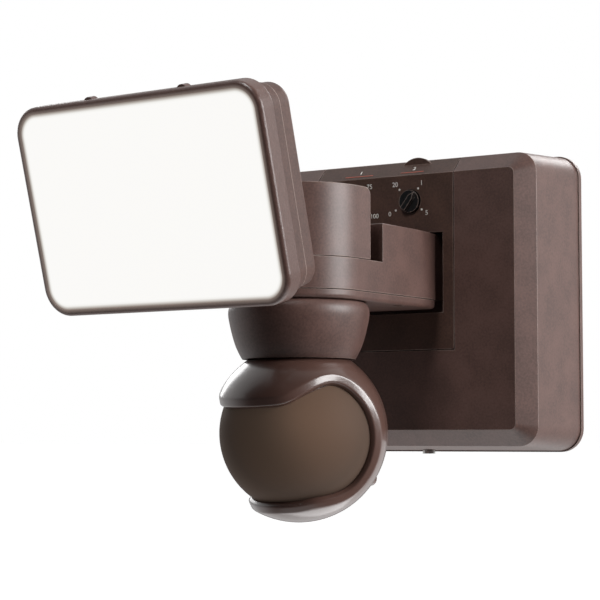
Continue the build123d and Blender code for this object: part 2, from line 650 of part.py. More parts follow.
with BuildPart() as arm_cover:
    half, neck = ARM_R - COVER_INSET, ARM_NECK - COVER_INSET
    floor = ARM.offset(COVER_LOW)
    cover_h = ARM_SEAM - COVER_GAP - COVER_LOW
    extrude(u_plan(floor, half, 40.0), amount=cover_h)
    extrude(arm_plan(COVER_LOW, half, neck, FLARE_LOW, 39.0, NECK_START + 1.0), amount=cover_h)
    extrude(block(floor, 80.0, 20.0, 1.0, (0, COVER_END + 10.0)), amount=cover_h, mode=Mode.SUBTRACT)
    fillet(arm_cover.faces().sort_by(Axis.Z)[0].edges(), COVER_ROUND)
    extrude(u_plan(floor.offset(COVER_T), ARM_R - ARM_T, TRAY_BACK), amount=cover_h, mode=Mode.SUBTRACT)
    boss_h = ARM_SEAM - COVER_LOW - 1.0
    extrude(disc(floor.offset(1.0), TUBE_BOSS_R), amount=boss_h)
    extrude(disc(floor.offset(1.0), COVER_BOSS_R, *COVER_BOSSES), amount=boss_h)
    extrude(disc(floor, TUBE_R + PIVOT_GAP), amount=20.0, mode=Mode.SUBTRACT)
    extrude(disc(floor, CLEAR_R, *COVER_BOSSES), amount=20.0, mode=Mode.SUBTRACT)
    extrude(disc(floor, COVER_HEAD_R + 0.4, *COVER_BOSSES), amount=COVER_SUNK, mode=Mode.SUBTRACT)
save(arm_cover.part, "arm_cover")

with BuildPart() as arm_screws:
    screw(seen_from_wall(WALL.offset(CANOPY_D - RECESS_DEPTH - ARM_FLANGE_T)), 3.0, 1.8, SHANK_R, 8.0,
          *[(x, -z) for x, z in ARM_POSTS])
save(arm_screws.part, "arm_screws")

with BuildPart() as cover_screws:
    sunk = Plane(origin=(0, AXIS_Y, COVER_LOW + COVER_SUNK), x_dir=(1, 0, 0), z_dir=(0, 0, -1))
    screw(sunk, COVER_HEAD_R, 1.7, SHANK_R, 8.5, *[(x, -y) for x, y in COVER_BOSSES], recess=True)
save(cover_screws.part, "cover_screws")

# =====================================================================================
# Vertical pivot: one hollow tube holds the barrel above and the collar below
# =====================================================================================
FLOOR_TOP = BARREL_LOW + BARREL_FLOOR

with BuildPart() as pivot_tube:
    extrude(disc(ARM.offset(TUBE_LOW), TUBE_R, bore=TUBE_BORE), amount=TUBE_TOP - TUBE_LOW)
    rings = pivot_tube.edges().filter_by(GeomType.CIRCLE).group_by(Axis.Z)
    chamfer(rings[0] + rings[-1], 0.5)
    extrude(disc(LEAD_PORT, PORT_R), amount=2 * TUBE_R, mode=Mode.SUBTRACT)
save(pivot_tube.part, "pivot_tube")

with BuildPart() as pan_liner:
    extrude(disc(ARM.offset(ARM_TOP), LINER_R, bore=TUBE_R + PIVOT_GAP), amount=BARREL_LOW - ARM_TOP)
save(pan_liner.part, "pan_liner")

CLAMPS = {"barrel": (FLOOR_TOP, NUT_H, 1), "collar": (COLLAR_TOP - COLLAR_ROOF, NUT_H - 0.6, -1)}
for name, (z, nut_h, up) in CLAMPS.items():
    with BuildPart() as washer:
        extrude(disc(ARM.offset(z), WASHER_R, bore=TUBE_R + THREAD_GAP), amount=up * WASHER_T)
    save(washer.part, f"{name}_washer")
    with BuildPart() as nut:
        extrude(hexagon(ARM.offset(z + up * WASHER_T), NUT_AF, TUBE_R + THREAD_GAP), amount=up * nut_h)
        chamfer(nut.edges().filter_by(GeomType.CIRCLE), 0.3)
    save(nut.part, f"{name}_nut")

# =====================================================================================
# Barrel: turns on the arm and carries the fork of the tilt joint
# =====================================================================================
BARREL = level(0.0, PAN)
FORK = side_of(looking(PIN_POINT, PAN), PIN_POINT)
LUG_FACE = LUG_IN + LUG_T

with BuildPart() as barrel_shell:
    extrude(u_plan(BARREL.offset(BARREL_LOW), BARREL_R, BARREL_BACK), amount=BARREL_TOP - BARREL_LOW)
    top_rim = barrel_shell.faces().sort_by(Axis.Z)[-1].edges()
    fillet(top_rim.filter_by(GeomType.LINE).sort_by(Axis.Y)[-1], BARREL_EDGE)
    inner_r = BARREL_R - BARREL_T
    extrude(u_plan(BARREL.offset(FLOOR_TOP), inner_r, BARREL_BACK - BARREL_T), amount=CAP_NECK - FLOOR_TOP,
            mode=Mode.SUBTRACT)
    extrude(u_plan(BARREL.offset(CAP_NECK - 1.0), inner_r, CAP_BACK - CAP_LEDGE), amount=20.0,
            mode=Mode.SUBTRACT)
    extrude(u_plan(BARREL.offset(BARREL_TOP - BARREL_CAP_T), inner_r + CAP_LEDGE, CAP_BACK), amount=20.0,
            mode=Mode.SUBTRACT)
    for side in (-1, 1):
        with BuildSketch(FORK.offset(side * (LUG_IN + LUG_T / 2))) as lug:
            Circle(EYE_R)
            with Locations((-(PIN_FWD - LUG_ROOT) / 2, 0)):
                Rectangle(PIN_FWD - LUG_ROOT, 2 * EYE_R)
        extrude(lug.sketch, amount=LUG_T / 2, both=True)
    extrude(disc(FORK, PIN_R + PIN_GAP), amount=40.0, both=True, mode=Mode.SUBTRACT)
    extrude(disc(ARM.offset(BARREL_LOW), TUBE_R + PIVOT_GAP), amount=BARREL_FLOOR, mode=Mode.SUBTRACT)
save(barrel_shell.part, "barrel_shell")

with BuildPart() as barrel_cap:
    cap_bottom = BARREL.offset(BARREL_TOP - BARREL_CAP_T)
    extrude(u_plan(cap_bottom, inner_r + CAP_LEDGE - FIT, CAP_BACK - FIT), amount=BARREL_CAP_T)
save(barrel_cap.part, "barrel_cap")

with BuildPart() as tilt_pin:
    extrude(disc(FORK.offset(-LUG_FACE - NUT_H - 2.0), PIN_R), amount=2 * LUG_FACE + NUT_H + 2.0)
    extrude(disc(FORK.offset(LUG_FACE), PIN_HEAD_R), amount=PIN_HEAD_T)
    fillet(tilt_pin.faces().filter_by(GeomType.PLANE).sort_by(Axis.X)[0].edges(), 1.0)
save(tilt_pin.part, "tilt_pin")

with BuildPart() as tilt_nut:
    extrude(hexagon(FORK.offset(-LUG_FACE), PIN_NUT_AF, PIN_R + THREAD_GAP), amount=-NUT_H)
save(tilt_nut.part, "tilt_nut")

with BuildPart() as tilt_washers:
    for side in (-1, 1):
        ring = disc(FORK.offset(side * EYE_HALF), EYE_R - 1.0, bore=PIN_R + PIN_GAP)
        extrude(ring, amount=side * (LUG_IN - EYE_HALF))
save(tilt_washers.part, "tilt_washers")

# =====================================================================================
# Lamp head: tilts on the fork
# =====================================================================================
HEAD_AXIS = Axis(HEAD.origin, HEAD.z_dir)
CAVITY = CASING_INSET + CASING_T
LEDGE = CAVITY + 2.4

with BuildPart() as head_bezel:
    extrude(head_block(0.0, 0.0), amount=-BEZEL_D)
    fillet(head_bezel.faces().sort_by(HEAD_AXIS)[-1].edges(), BEZEL_ROUND)
    extrude(head_block(0.0, BEZEL_RIM), amount=-BEZEL_D, mode=Mode.SUBTRACT)
    extrude(head_block(BEZEL_LIP, BEZEL_T), amount=-BEZEL_D, mode=Mode.SUBTRACT)
    with BuildSketch(HEAD.offset(-BEZEL_D + 0.6)) as clips:
        with Locations((-CLIP_X, HEAD_H / 2 - CLIP_SINK), (CLIP_X, HEAD_H / 2 - CLIP_SINK)):
            Circle(CLIP_R)
        with Locations((0, HEAD_H / 2 - BEZEL_T + 0.6)):
            Rectangle(HEAD_W, 4 * CLIP_R, align=(Align.CENTER, Align.MAX), mode=Mode.SUBTRACT)
    extrude(clips.sketch, amount=4.0)
save(head_bezel.part, "head_bezel")

with BuildPart() as diffuser:
    glass_end = BEZEL_LIP + GLASS_T
    extrude(head_block(GLASS_SUNK, BEZEL_RIM + 0.12), amount=GLASS_SUNK - glass_end)
    extrude(head_block(BEZEL_LIP, BEZEL_T + 0.2), amount=BEZEL_LIP - glass_end)
save(diffuser.part, "diffuser")

with BuildPart() as head_casing:
    extrude(head_block(glass_end, BEZEL_T + FIT), amount=glass_end - BEZEL_D)
    extrude(head_block(BEZEL_D, CASING_INSET), amount=BEZEL_D - CASING_END)
    extrude(head_block(glass_end, CAVITY), amount=glass_end - PLATE_END, mode=Mode.SUBTRACT)
    extrude(head_block(PLATE_END, LEDGE), amount=PLATE_END - CASING_END, mode=Mode.SUBTRACT)
    extrude(disc(HEAD.offset(-PLATE_END), HEAD_POST_R, *REAR_POSTS), amount=PLATE_END - CASING_END)
    extrude(disc(HEAD.offset(-PLATE_END), PILOT_R, *REAR_POSTS), amount=PLATE_END - CASING_END,
            mode=Mode.SUBTRACT)
save(head_casing.part, "head_casing")

with BuildPart() as heat_plate:
    extrude(head_block(PLATE_END - PLATE_T, CAVITY + FIT), amount=-PLATE_T)
save(heat_plate.part, "heat_plate")

with BuildPart() as led_board:
    board_face = PLATE_END - PLATE_T - BOARD_T
    extrude(head_block(board_face, LEDGE + 1.0), amount=-BOARD_T)
    with BuildSketch(HEAD.offset(-board_face)) as chips:
        with GridLocations(LED_PITCH_X, LED_PITCH_Z, LED_COLUMNS, LED_ROWS):
            Rectangle(LED_SIZE, LED_SIZE)
    extrude(chips.sketch, amount=LED_RISE)
save(led_board.part, "led_board")

with BuildPart() as head_seal:
    extrude(head_block(CASING_END, REAR_INSET + 0.3), amount=-SEAL_T)
    extrude(head_block(CASING_END, REAR_INSET + REAR_WALL + 0.3), amount=-SEAL_T, mode=Mode.SUBTRACT)
save(head_seal.part, "head_seal")

FOOT_FWD = HEAD_FWD - REAR_END - FOOT_T

with BuildPart() as rear_cover:
    cover_face = CASING_END + SEAL_T
    extrude(head_block(cover_face, REAR_INSET), amount=cover_face - REAR_END)
    fillet(rear_cover.faces().sort_by(HEAD_AXIS)[0].edges(), REAR_ROUND)
    extrude(head_block(cover_face, REAR_INSET + REAR_WALL), amount=cover_face - REAR_END + REAR_WALL,
            mode=Mode.SUBTRACT)
    extrude(disc(HEAD.offset(-cover_face), HEAD_POST_R, *REAR_POSTS), amount=cover_face - REAR_SEAT)
    neck_posts = HINGE.offset(FOOT_FWD + FOOT_T)
    extrude(disc(neck_posts, HEAD_POST_R, *FOOT_SCREWS), amount=7.0)
    extrude(disc(neck_posts, PILOT_R, *FOOT_SCREWS), amount=6.0, mode=Mode.SUBTRACT)
    extrude(disc(HEAD.offset(-cover_face), CLEAR_R, *REAR_POSTS), amount=-12.0, mode=Mode.SUBTRACT)
    extrude(disc(HEAD.offset(-REAR_SEAT), REAR_HEAD_R + 0.3, *REAR_POSTS), amount=-4.0, mode=Mode.SUBTRACT)
save(rear_cover.part, "rear_cover")

with BuildPart() as rear_screws:
    screw(seen_from_back(HEAD.offset(-REAR_SEAT)), REAR_HEAD_R, 1.5, SHANK_R, 9.6,
          *[(-x, z) for x, z in REAR_POSTS], recess=True)
save(rear_screws.part, "rear_screws")

EYE_PLANE = side_of(HINGE, PIN_POINT)

with BuildPart() as head_neck:
    extrude(disc(EYE_PLANE, EYE_R), amount=EYE_HALF, both=True)
    bar = block(HINGE, 2 * EYE_HALF, NECK_H, 0)
    extrude(bar, amount=FOOT_FWD + 1.0)
    loft([block(HINGE.offset(EYE_R + 3.0), 2 * EYE_HALF, NECK_H, 2.0),
          block(HINGE.offset(FOOT_FWD), 24.0, FOOT_H - 4.0, 4.0, (0, FOOT_Z))])
    extrude(block(HINGE.offset(FOOT_FWD), FOOT_W, FOOT_H, 4.0, (0, FOOT_Z)), amount=FOOT_T)
    extrude(disc(EYE_PLANE, PIN_R + PIN_GAP), amount=20.0, both=True, mode=Mode.SUBTRACT)
    extrude(disc(HINGE.offset(FOOT_FWD), CLEAR_R, *FOOT_SCREWS), amount=FOOT_T, mode=Mode.SUBTRACT)
save(head_neck.part, "head_neck")

with BuildPart() as neck_screws:
    screw(seen_from_back(HINGE.offset(FOOT_FWD)), REAR_HEAD_R, 1.5, SHANK_R, 8.0,
          *[(-x, z) for x, z in FOOT_SCREWS])
save(neck_screws.part, "neck_screws")

# =====================================================================================
# Collar under the arm and the swivelling stem in it
# =====================================================================================
COLLAR_CURVE = [(34.6, -9.2), (34.3, -13.4), (33.5, -17.3), (32.5, -21.3), (31.3, -25.2), (29.7, -29.0)]
COLLAR_FOOT = (27.7, COLLAR_LOW)
SEAT_TOP = COLLAR_LOW + 3.1
roof = COLLAR_TOP - COLLAR_ROOF
bolts = [(SWIVEL_BOLT_R * math.cos(a), SWIVEL_BOLT_R * math.sin(a))
         for a in (math.radians(90), math.radians(210), math.radians(330))]

with BuildPart() as sensor_collar:
    with BuildSketch(SPIN) as profile:
        with BuildLine():
            Polyline(COLLAR_FOOT, (0, COLLAR_LOW), (0, COLLAR_TOP), (30.4, COLLAR_TOP))
            Spline((30.4, COLLAR_TOP), (33.4, -6.0), *COLLAR_CURVE, COLLAR_FOOT)
        make_face()
    revolve(profile.sketch, axis=SPIN_AXIS)
    hollow = turned((0, roof), (28.4, roof), (31.2, roof - 3.4), (31.4, -14.0), (29.6, -21.4), (27.4, -27.4),
                    (26.4, SEAT_TOP), (0, SEAT_TOP))
    revolve(hollow, axis=SPIN_AXIS, mode=Mode.SUBTRACT)
    extrude(disc(ARM.offset(COLLAR_LOW - 1.0), SEAT_R), amount=8.0, mode=Mode.SUBTRACT)
    with Locations(BALL_CENTRE):
        Sphere(BALL_R + SEAT_GAP, mode=Mode.SUBTRACT)
    extrude(disc(ARM.offset(WEB_TOP), 3.2, *bolts), amount=roof - WEB_TOP + 0.5)
    extrude(disc(ARM.offset(WEB_TOP), PILOT_R, *bolts), amount=8.0, mode=Mode.SUBTRACT)
    extrude(disc(ARM.offset(roof - 1.0), TUBE_R + PIVOT_GAP), amount=10.0, mode=Mode.SUBTRACT)
save(sensor_collar.part, "sensor_collar")

with BuildPart() as swivel_plate:
    extrude(disc(ARM.offset(WEB_LOW), SWIVEL_PLATE_R, bore=STEM_R + PIVOT_GAP), amount=WEB_TOP - WEB_LOW)
    extrude(disc(ARM.offset(WEB_LOW), CLEAR_R, *bolts), amount=WEB_TOP - WEB_LOW, mode=Mode.SUBTRACT)
save(swivel_plate.part, "swivel_plate")

with BuildPart() as swivel_screws:
    from_below = Plane(origin=(0, AXIS_Y, WEB_LOW), x_dir=(1, 0, 0), z_dir=(0, 0, -1))
    screw(from_below, 2.8, 1.6, SHANK_R, 9.5, *[(x, -y) for x, y in bolts])
save(swivel_screws.part, "swivel_screws")

with BuildPart() as sensor_stem:
    extrude(disc(ARM.offset(STEM_LOW), STEM_R), amount=WEB_TOP - STEM_LOW)
    extrude(disc(ARM.offset(WEB_TOP), STEM_FLANGE_R), amount=STEM_FLANGE_T)
    extrude(disc(ARM.offset(STEM_LOW), STEM_BORE), amount=40.0, mode=Mode.SUBTRACT)
save(sensor_stem.part, "sensor_stem")

SADDLE_R = SHELL_IN - SEAT_GAP

with BuildPart() as clamp_saddle:
    with Locations(BALL_CENTRE):
        Sphere(SADDLE_R)
        Sphere(SADDLE_R - SADDLE_T, mode=Mode.SUBTRACT)
    strip = block(level(BALL_Z, BALL_PAN), 2 * SADDLE_HALF_W, 2 * SADDLE_HALF_L, 3.0)
    extrude(strip, amount=BALL_R, mode=Mode.INTERSECT)
    extrude(disc(ARM.offset(BALL_Z), STEM_R + PIVOT_GAP), amount=2 * BALL_R, mode=Mode.SUBTRACT)
save(clamp_saddle.part, "clamp_saddle")

NUT_TOP = BALL_Z + math.sqrt((SADDLE_R - SADDLE_T) ** 2 - SPRING_R ** 2) - SPRING_H - SPRING_GAP

with BuildPart() as spring_washer:
    bore = STEM_R + 0.1
    cone = turned((bore, NUT_TOP), (bore + 0.9, NUT_TOP), (SPRING_R, NUT_TOP + SPRING_H / 2),
                  (SPRING_R, NUT_TOP + SPRING_H), (SPRING_R - 0.8, NUT_TOP + SPRING_H),
                  (bore, NUT_TOP + SPRING_H / 2))
    revolve(cone, axis=SPIN_AXIS)
save(spring_washer.part, "spring_washer")

with BuildPart() as stem_nut:
    extrude(hexagon(ARM.offset(NUT_TOP), STEM_NUT_AF, STEM_R + THREAD_GAP), amount=-STEM_NUT_H)
save(stem_nut.part, "stem_nut")

# =====================================================================================
# Sensor ball: swivels with the stem and tilts on the collar's seat
# =====================================================================================
with BuildPart() as stem_slot:
    with BuildSketch(level(BALL_Z, BALL_PAN)) as slot:
        SlotOverall(2 * SLOT_HALF, 2 * (STEM_R + SLOT_GAP), rotation=90)
    extrude(slot.sketch, amount=BALL_R + 2)

lip_tools = []
for step in range(LIP_STEPS):
    with BuildPart() as lip_tool:
        add(sensor_opening(-LIP * step / (LIP_STEPS - 1)))
        if step < LIP_STEPS - 1:
            ball_solid(BALL_R - BALL_T * (step + 1) / LIP_STEPS, Mode.SUBTRACT)
    lip_tools.append(lip_tool)

with BuildPart() as sensor_front_shell:
    ball_solid(BALL_R)
    ball_solid(SHELL_IN, Mode.SUBTRACT)
    extrude(disc(BALL.offset(-SPLIT_BACK), BALL_R + 2), amount=-BALL_R, mode=Mode.SUBTRACT)
    for tool in lip_tools:
        add(tool.part, mode=Mode.SUBTRACT)
    add(stem_slot.part, mode=Mode.SUBTRACT)
    extrude(disc(BALL.offset(-SPLIT_BACK), SHELL_POST_R - 0.8, *SHELL_POSTS), amount=9.0)
    extrude(disc(BALL.offset(-SPLIT_BACK), PILOT_R, *SHELL_POSTS), amount=8.0, mode=Mode.SUBTRACT)
save(sensor_front_shell.part, "sensor_front_shell")

with BuildPart() as sensor_rear_shell:
    back = BALL.offset(-SPLIT_BACK - SPLIT_GAP)
    ball_solid(BALL_R)
    ball_solid(SHELL_IN, Mode.SUBTRACT)
    extrude(disc(back, BALL_R + 2), amount=2 * BALL_R, mode=Mode.SUBTRACT)
    add(spigot_ring(SHELL_IN + 0.5, -SPLIT_BACK - SPLIT_GAP - 3.0, 3.0))
    add(spigot_ring(SHELL_IN - FIT, -SPLIT_BACK - SPLIT_GAP - 1.0, 1.0 + SPIGOT))
    extrude(disc(back, SHELL_POST_R, *SHELL_POSTS), amount=SPLIT_BACK + SPLIT_GAP - SHELL_SEAT - 4.0)
    extrude(disc(back, SHELL_POST_R - 0.4, *SHELL_POSTS), amount=SPIGOT + 1.0, mode=Mode.SUBTRACT)
    extrude(disc(BALL.offset(-SHELL_SEAT), SHELL_HEAD_R + 0.3, *SHELL_POSTS), amount=-12.0,
            mode=Mode.SUBTRACT)
    extrude(disc(BALL.offset(-BALL_R), CLEAR_R, *SHELL_POSTS), amount=BALL_R, mode=Mode.SUBTRACT)
    board_back = BALL.offset(SENSOR_BOARD_FWD - BOARD_T)
    extrude(disc(board_back, 2.6, *SENSOR_POSTS), amount=-30.5)
    extrude(disc(board_back, PILOT_R, *SENSOR_POSTS), amount=-8.0, mode=Mode.SUBTRACT)
save(sensor_rear_shell.part, "sensor_rear_shell")

with BuildPart() as shell_screws:
    screw(seen_from_back(BALL.offset(-SHELL_SEAT)), SHELL_HEAD_R, 1.6, SHANK_R, 11.0,
          *[(-x, z) for x, z in SHELL_POSTS], recess=True)
save(shell_screws.part, "shell_screws")

with BuildPart() as sensor_lens:
    # poles above and below, seam at the back: none of them in the lens
    with Locations(Plane(origin=BALL_CENTRE, x_dir=BALL.z_dir * -1, z_dir=BALL.y_dir).location):
        Sphere(SHELL_IN - LENS_GAP)
        Sphere(SHELL_IN - LENS_GAP - LENS_T, mode=Mode.SUBTRACT)
    add(sensor_opening(LENS_FLANGE - LIP), mode=Mode.INTERSECT)
save(sensor_lens.part, "sensor_lens")

with BuildPart() as sensor_board:
    extrude(disc(board_back, SENSOR_BOARD_R), amount=BOARD_T)
    extrude(disc(board_back, CLEAR_R, *SENSOR_POSTS), amount=BOARD_T, mode=Mode.SUBTRACT)
save(sensor_board.part, "sensor_board")

board_front = board_back.offset(BOARD_T)

with BuildPart() as sensor_screws:
    screw(board_front, 2.4, 1.4, SHANK_R, 6.5, *SENSOR_POSTS)
save(sensor_screws.part, "sensor_screws")

with BuildPart() as pir_element:
    extrude(disc(board_front, 4.9), amount=0.6)
    extrude(disc(board_front, 4.2), amount=4.2)
    extrude(block(board_front.offset(4.2), 4.0, 3.0, 0), amount=-0.4, mode=Mode.SUBTRACT)
save(pir_element.part, "pir_element")

with BuildPart() as light_sensor:
    extrude(disc(board_front, 2.5, (9, -9)), amount=2.0)
save(light_sensor.part, "light_sensor")
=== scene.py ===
import json
import math

import bmesh
import bpy
from mathutils import Matrix, Vector


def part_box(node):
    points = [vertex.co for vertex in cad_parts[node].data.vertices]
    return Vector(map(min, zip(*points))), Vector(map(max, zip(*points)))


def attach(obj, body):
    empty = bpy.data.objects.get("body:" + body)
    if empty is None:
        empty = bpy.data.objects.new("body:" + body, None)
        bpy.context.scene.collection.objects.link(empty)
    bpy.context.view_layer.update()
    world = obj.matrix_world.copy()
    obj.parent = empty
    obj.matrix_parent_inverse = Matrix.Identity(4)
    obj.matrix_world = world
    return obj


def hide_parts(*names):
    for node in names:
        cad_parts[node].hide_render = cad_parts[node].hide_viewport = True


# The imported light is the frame: metres, origin on the wall behind the canopy's centre,
# +X to the viewer's right, +Y into the wall, +Z up. The light looks along -Y.
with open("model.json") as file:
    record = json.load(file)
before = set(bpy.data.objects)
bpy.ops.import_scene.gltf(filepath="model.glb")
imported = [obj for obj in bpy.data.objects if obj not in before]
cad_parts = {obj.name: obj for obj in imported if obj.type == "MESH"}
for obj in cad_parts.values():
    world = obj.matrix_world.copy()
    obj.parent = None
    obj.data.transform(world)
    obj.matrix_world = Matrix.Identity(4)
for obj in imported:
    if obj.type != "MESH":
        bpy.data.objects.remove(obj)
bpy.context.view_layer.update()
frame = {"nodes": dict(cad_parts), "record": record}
nodes = frame["nodes"]

MM = 0.001

# ---- colours, linear ----
WHITE = (1.0, 1.0, 1.0)
BRONZE = (0.098, 0.053, 0.044)
BRONZE_HEAD = (0.080, 0.042, 0.034)
BRONZE_BALL = (0.100, 0.052, 0.041)
BRONZE_PANEL = (0.066, 0.034, 0.025)
EDGE_HIGHLIGHT = (0.36, 0.27, 0.235)          # painted highlight along an edge
# the lens's own brown, and the warmer colour of painted light towards its middle
LENS_DARK = (0.080, 0.053, 0.040)
LENS_PAINTED_WARMTH = (0.140, 0.080, 0.052)
LENS_PAINTED_GLOW_COLOR = (1.0, 0.70, 0.52)           # colour of the painted glow on the lens
SPILL_LIGHT = (1.0, 0.84, 0.74)          # window light on the bezel's lip
# the lit window's light, from its middle (0) to its outline (1)
WINDOW_LIGHT = [(0.0, (0.965, 0.955, 0.935)), (0.35, (0.90, 0.89, 0.86)),
                (0.75, (0.50, 0.46, 0.42)), (1.0, (0.24, 0.20, 0.175))]
PRINT_WHITE = (0.80, 0.78, 0.74)
PRINT_RED = (0.45, 0.10, 0.06)
FLOOR_PALE = (0.93, 0.93, 0.93)

# ---- places read from the frame ----
FRONT_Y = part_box("canopy_shell")[0].y    # the canopy's flat front
knob_low, knob_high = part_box("on_time_knob")
KNOB_CENTRE = (knob_low + knob_high) / 2

# ---- places repeated from the CAD model, because the frame doesn't give them ----
HEAD_PAN, HEAD_TILT = math.radians(-2.9), math.radians(15.6)
FACE_CENTRE = Vector((-5.8, -256.2, 32.4)) * MM
FACE_RIGHT = Vector((math.cos(HEAD_PAN), math.sin(HEAD_PAN), 0.0))
FACE_UP = Vector((math.sin(HEAD_TILT) * math.sin(HEAD_PAN),
                  -math.sin(HEAD_TILT) * math.cos(HEAD_PAN), math.cos(HEAD_TILT)))
WINDOW_HALF_W, WINDOW_HALF_H, WINDOW_CORNER = 67.8 * MM, 45.8 * MM, 10.3 * MM
BALL_CENTRE = Vector((0.0, -141.0, -68.4)) * MM
BALL_PAN, BALL_TILT = math.radians(-10.0), math.radians(8.0)
BALL_AHEAD = Vector((math.cos(BALL_TILT) * math.sin(BALL_PAN),
                     -math.cos(BALL_TILT) * math.cos(BALL_PAN), -math.sin(BALL_TILT)))
BALL_RIGHT = Vector((math.cos(BALL_PAN), math.sin(BALL_PAN), 0.0))
BALL_UP = BALL_RIGHT.cross(BALL_AHEAD) * -1

# ---- surface details ----
EDGE_SAMPLES = 6
EDGE_WIDTH = 0.55 * MM                   # the painted highlight line along an edge
EDGE_NONE, EDGE_FULL = 0.988, 0.945      # cosines between the flat and the rounded normal
EDGE_SHARE = 0.85                        # how much of the painted highlight colour the line takes
HOLLOW_REACH = 1.3 * MM                  # grooves and gaps this narrow get painted shade
# painted shade: below HOLLOW_CLEAR the ambient occlusion darkens the colour, down to HOLLOW_DARK
HOLLOW_CLEAR, HOLLOW_DARK = 0.55, 0.15
HOLLOW_POWER = 3.0                       # how fast the painted highlight line ends in a groove
MOTTLE_WIDE, MOTTLE_SPECK = 14 * MM, 1.1 * MM
MOTTLE_FROM, MOTTLE_TO = 0.36, 0.64
MOTTLE_DARK, MOTTLE_LIGHT = 0.78, 1.24
# how far the roughness varies below and above its middle
MOULD_SPREAD, BALL_SPREAD, BEZEL_SPREAD = (-0.07, 0.09), (-0.06, 0.06), (-0.10, 0.08)
METAL_SPREAD, PLASTIC_SPREAD = (-0.08, 0.10), (-0.05, 0.06)
# where the painted light on the lens is strongest, and how far out it fades
LENS_GLOW_AT = Vector((18.0, -172.0, -63.0)) * MM
LENS_GLOW_FROM, LENS_GLOW_TO = 4 * MM, 36 * MM
LENS_PAINTED_GLOW, LENS_PAINTED_GLOW_RIM = 0.050, 0.012    # painted glow (emission) in the middle and at the rim
WINDOW_STRENGTH = 0.97
WINDOW_FADE = 2.6 * MM                   # the window's light falls off over this width
SPILL_WIDTH, SPILL_STRENGTH = 1.7 * MM, 0.16     # and shines this far into the bezel


def add_object(name, data):
    made = bpy.data.objects.new(name, data)
    bpy.context.scene.collection.objects.link(made)
    return made


# =========================================================================================
# Materials
# =========================================================================================
MIX_COLOR_A, MIX_COLOR_B, MIX_COLOR_OUT = 6, 7, 2    # numbers of the Mix node's sockets


class Wires:
    """Short ways to add and wire the nodes of one tree."""

    def __init__(self, tree):
        self.tree = tree

    def feed(self, socket, value):
        """Sets an input, or links it where the value is another node's output."""
        if isinstance(value, bpy.types.NodeSocket):
            self.tree.links.new(value, socket)
        else:
            socket.default_value = value

    def node(self, kind, **values):
        """A new node with these inputs and settings."""
        made = self.tree.nodes.new(kind)
        for key, value in values.items():
            if key in made.inputs:
                self.feed(made.inputs[key], value)
            else:
                setattr(made, key, value)
        return made

    def maths(self, operation, a, b=0.0):
        made = self.node("ShaderNodeMath", operation=operation)
        self.feed(made.inputs[0], a)
        self.feed(made.inputs[1], b)
        return made.outputs["Value"]

    def vector(self, operation, a, b=None):
        """Vector maths; a dot product and a length give a number."""
        made = self.node("ShaderNodeVectorMath", operation=operation)
        self.feed(made.inputs[0], a)
        if b is not None:
            self.feed(made.inputs[1], b)
        return made.outputs["Value" if operation in ("DOT_PRODUCT", "LENGTH") else "Vector"]

    def mapped(self, value, source, target=(0.0, 1.0)):
        """The value moved from one range to another, and kept inside it."""
        made = self.node("ShaderNodeMapRange", Value=value)
        for side, limits in (("From", source), ("To", target)):
            made.inputs[side + " Min"].default_value = limits[0]
            made.inputs[side + " Max"].default_value = limits[1]
        return made.outputs["Result"]

    def ramp(self, factor, stops):
        """Colours at these places between 0 and 1."""
        made = self.node("ShaderNodeValToRGB", Fac=factor)
        elements = made.color_ramp.elements
        for i, (at, color) in enumerate(stops):
            element = elements[i] if i < 2 else elements.new(at)
            element.position = at
            element.color = (*color, 1.0)
        return made.outputs["Color"]


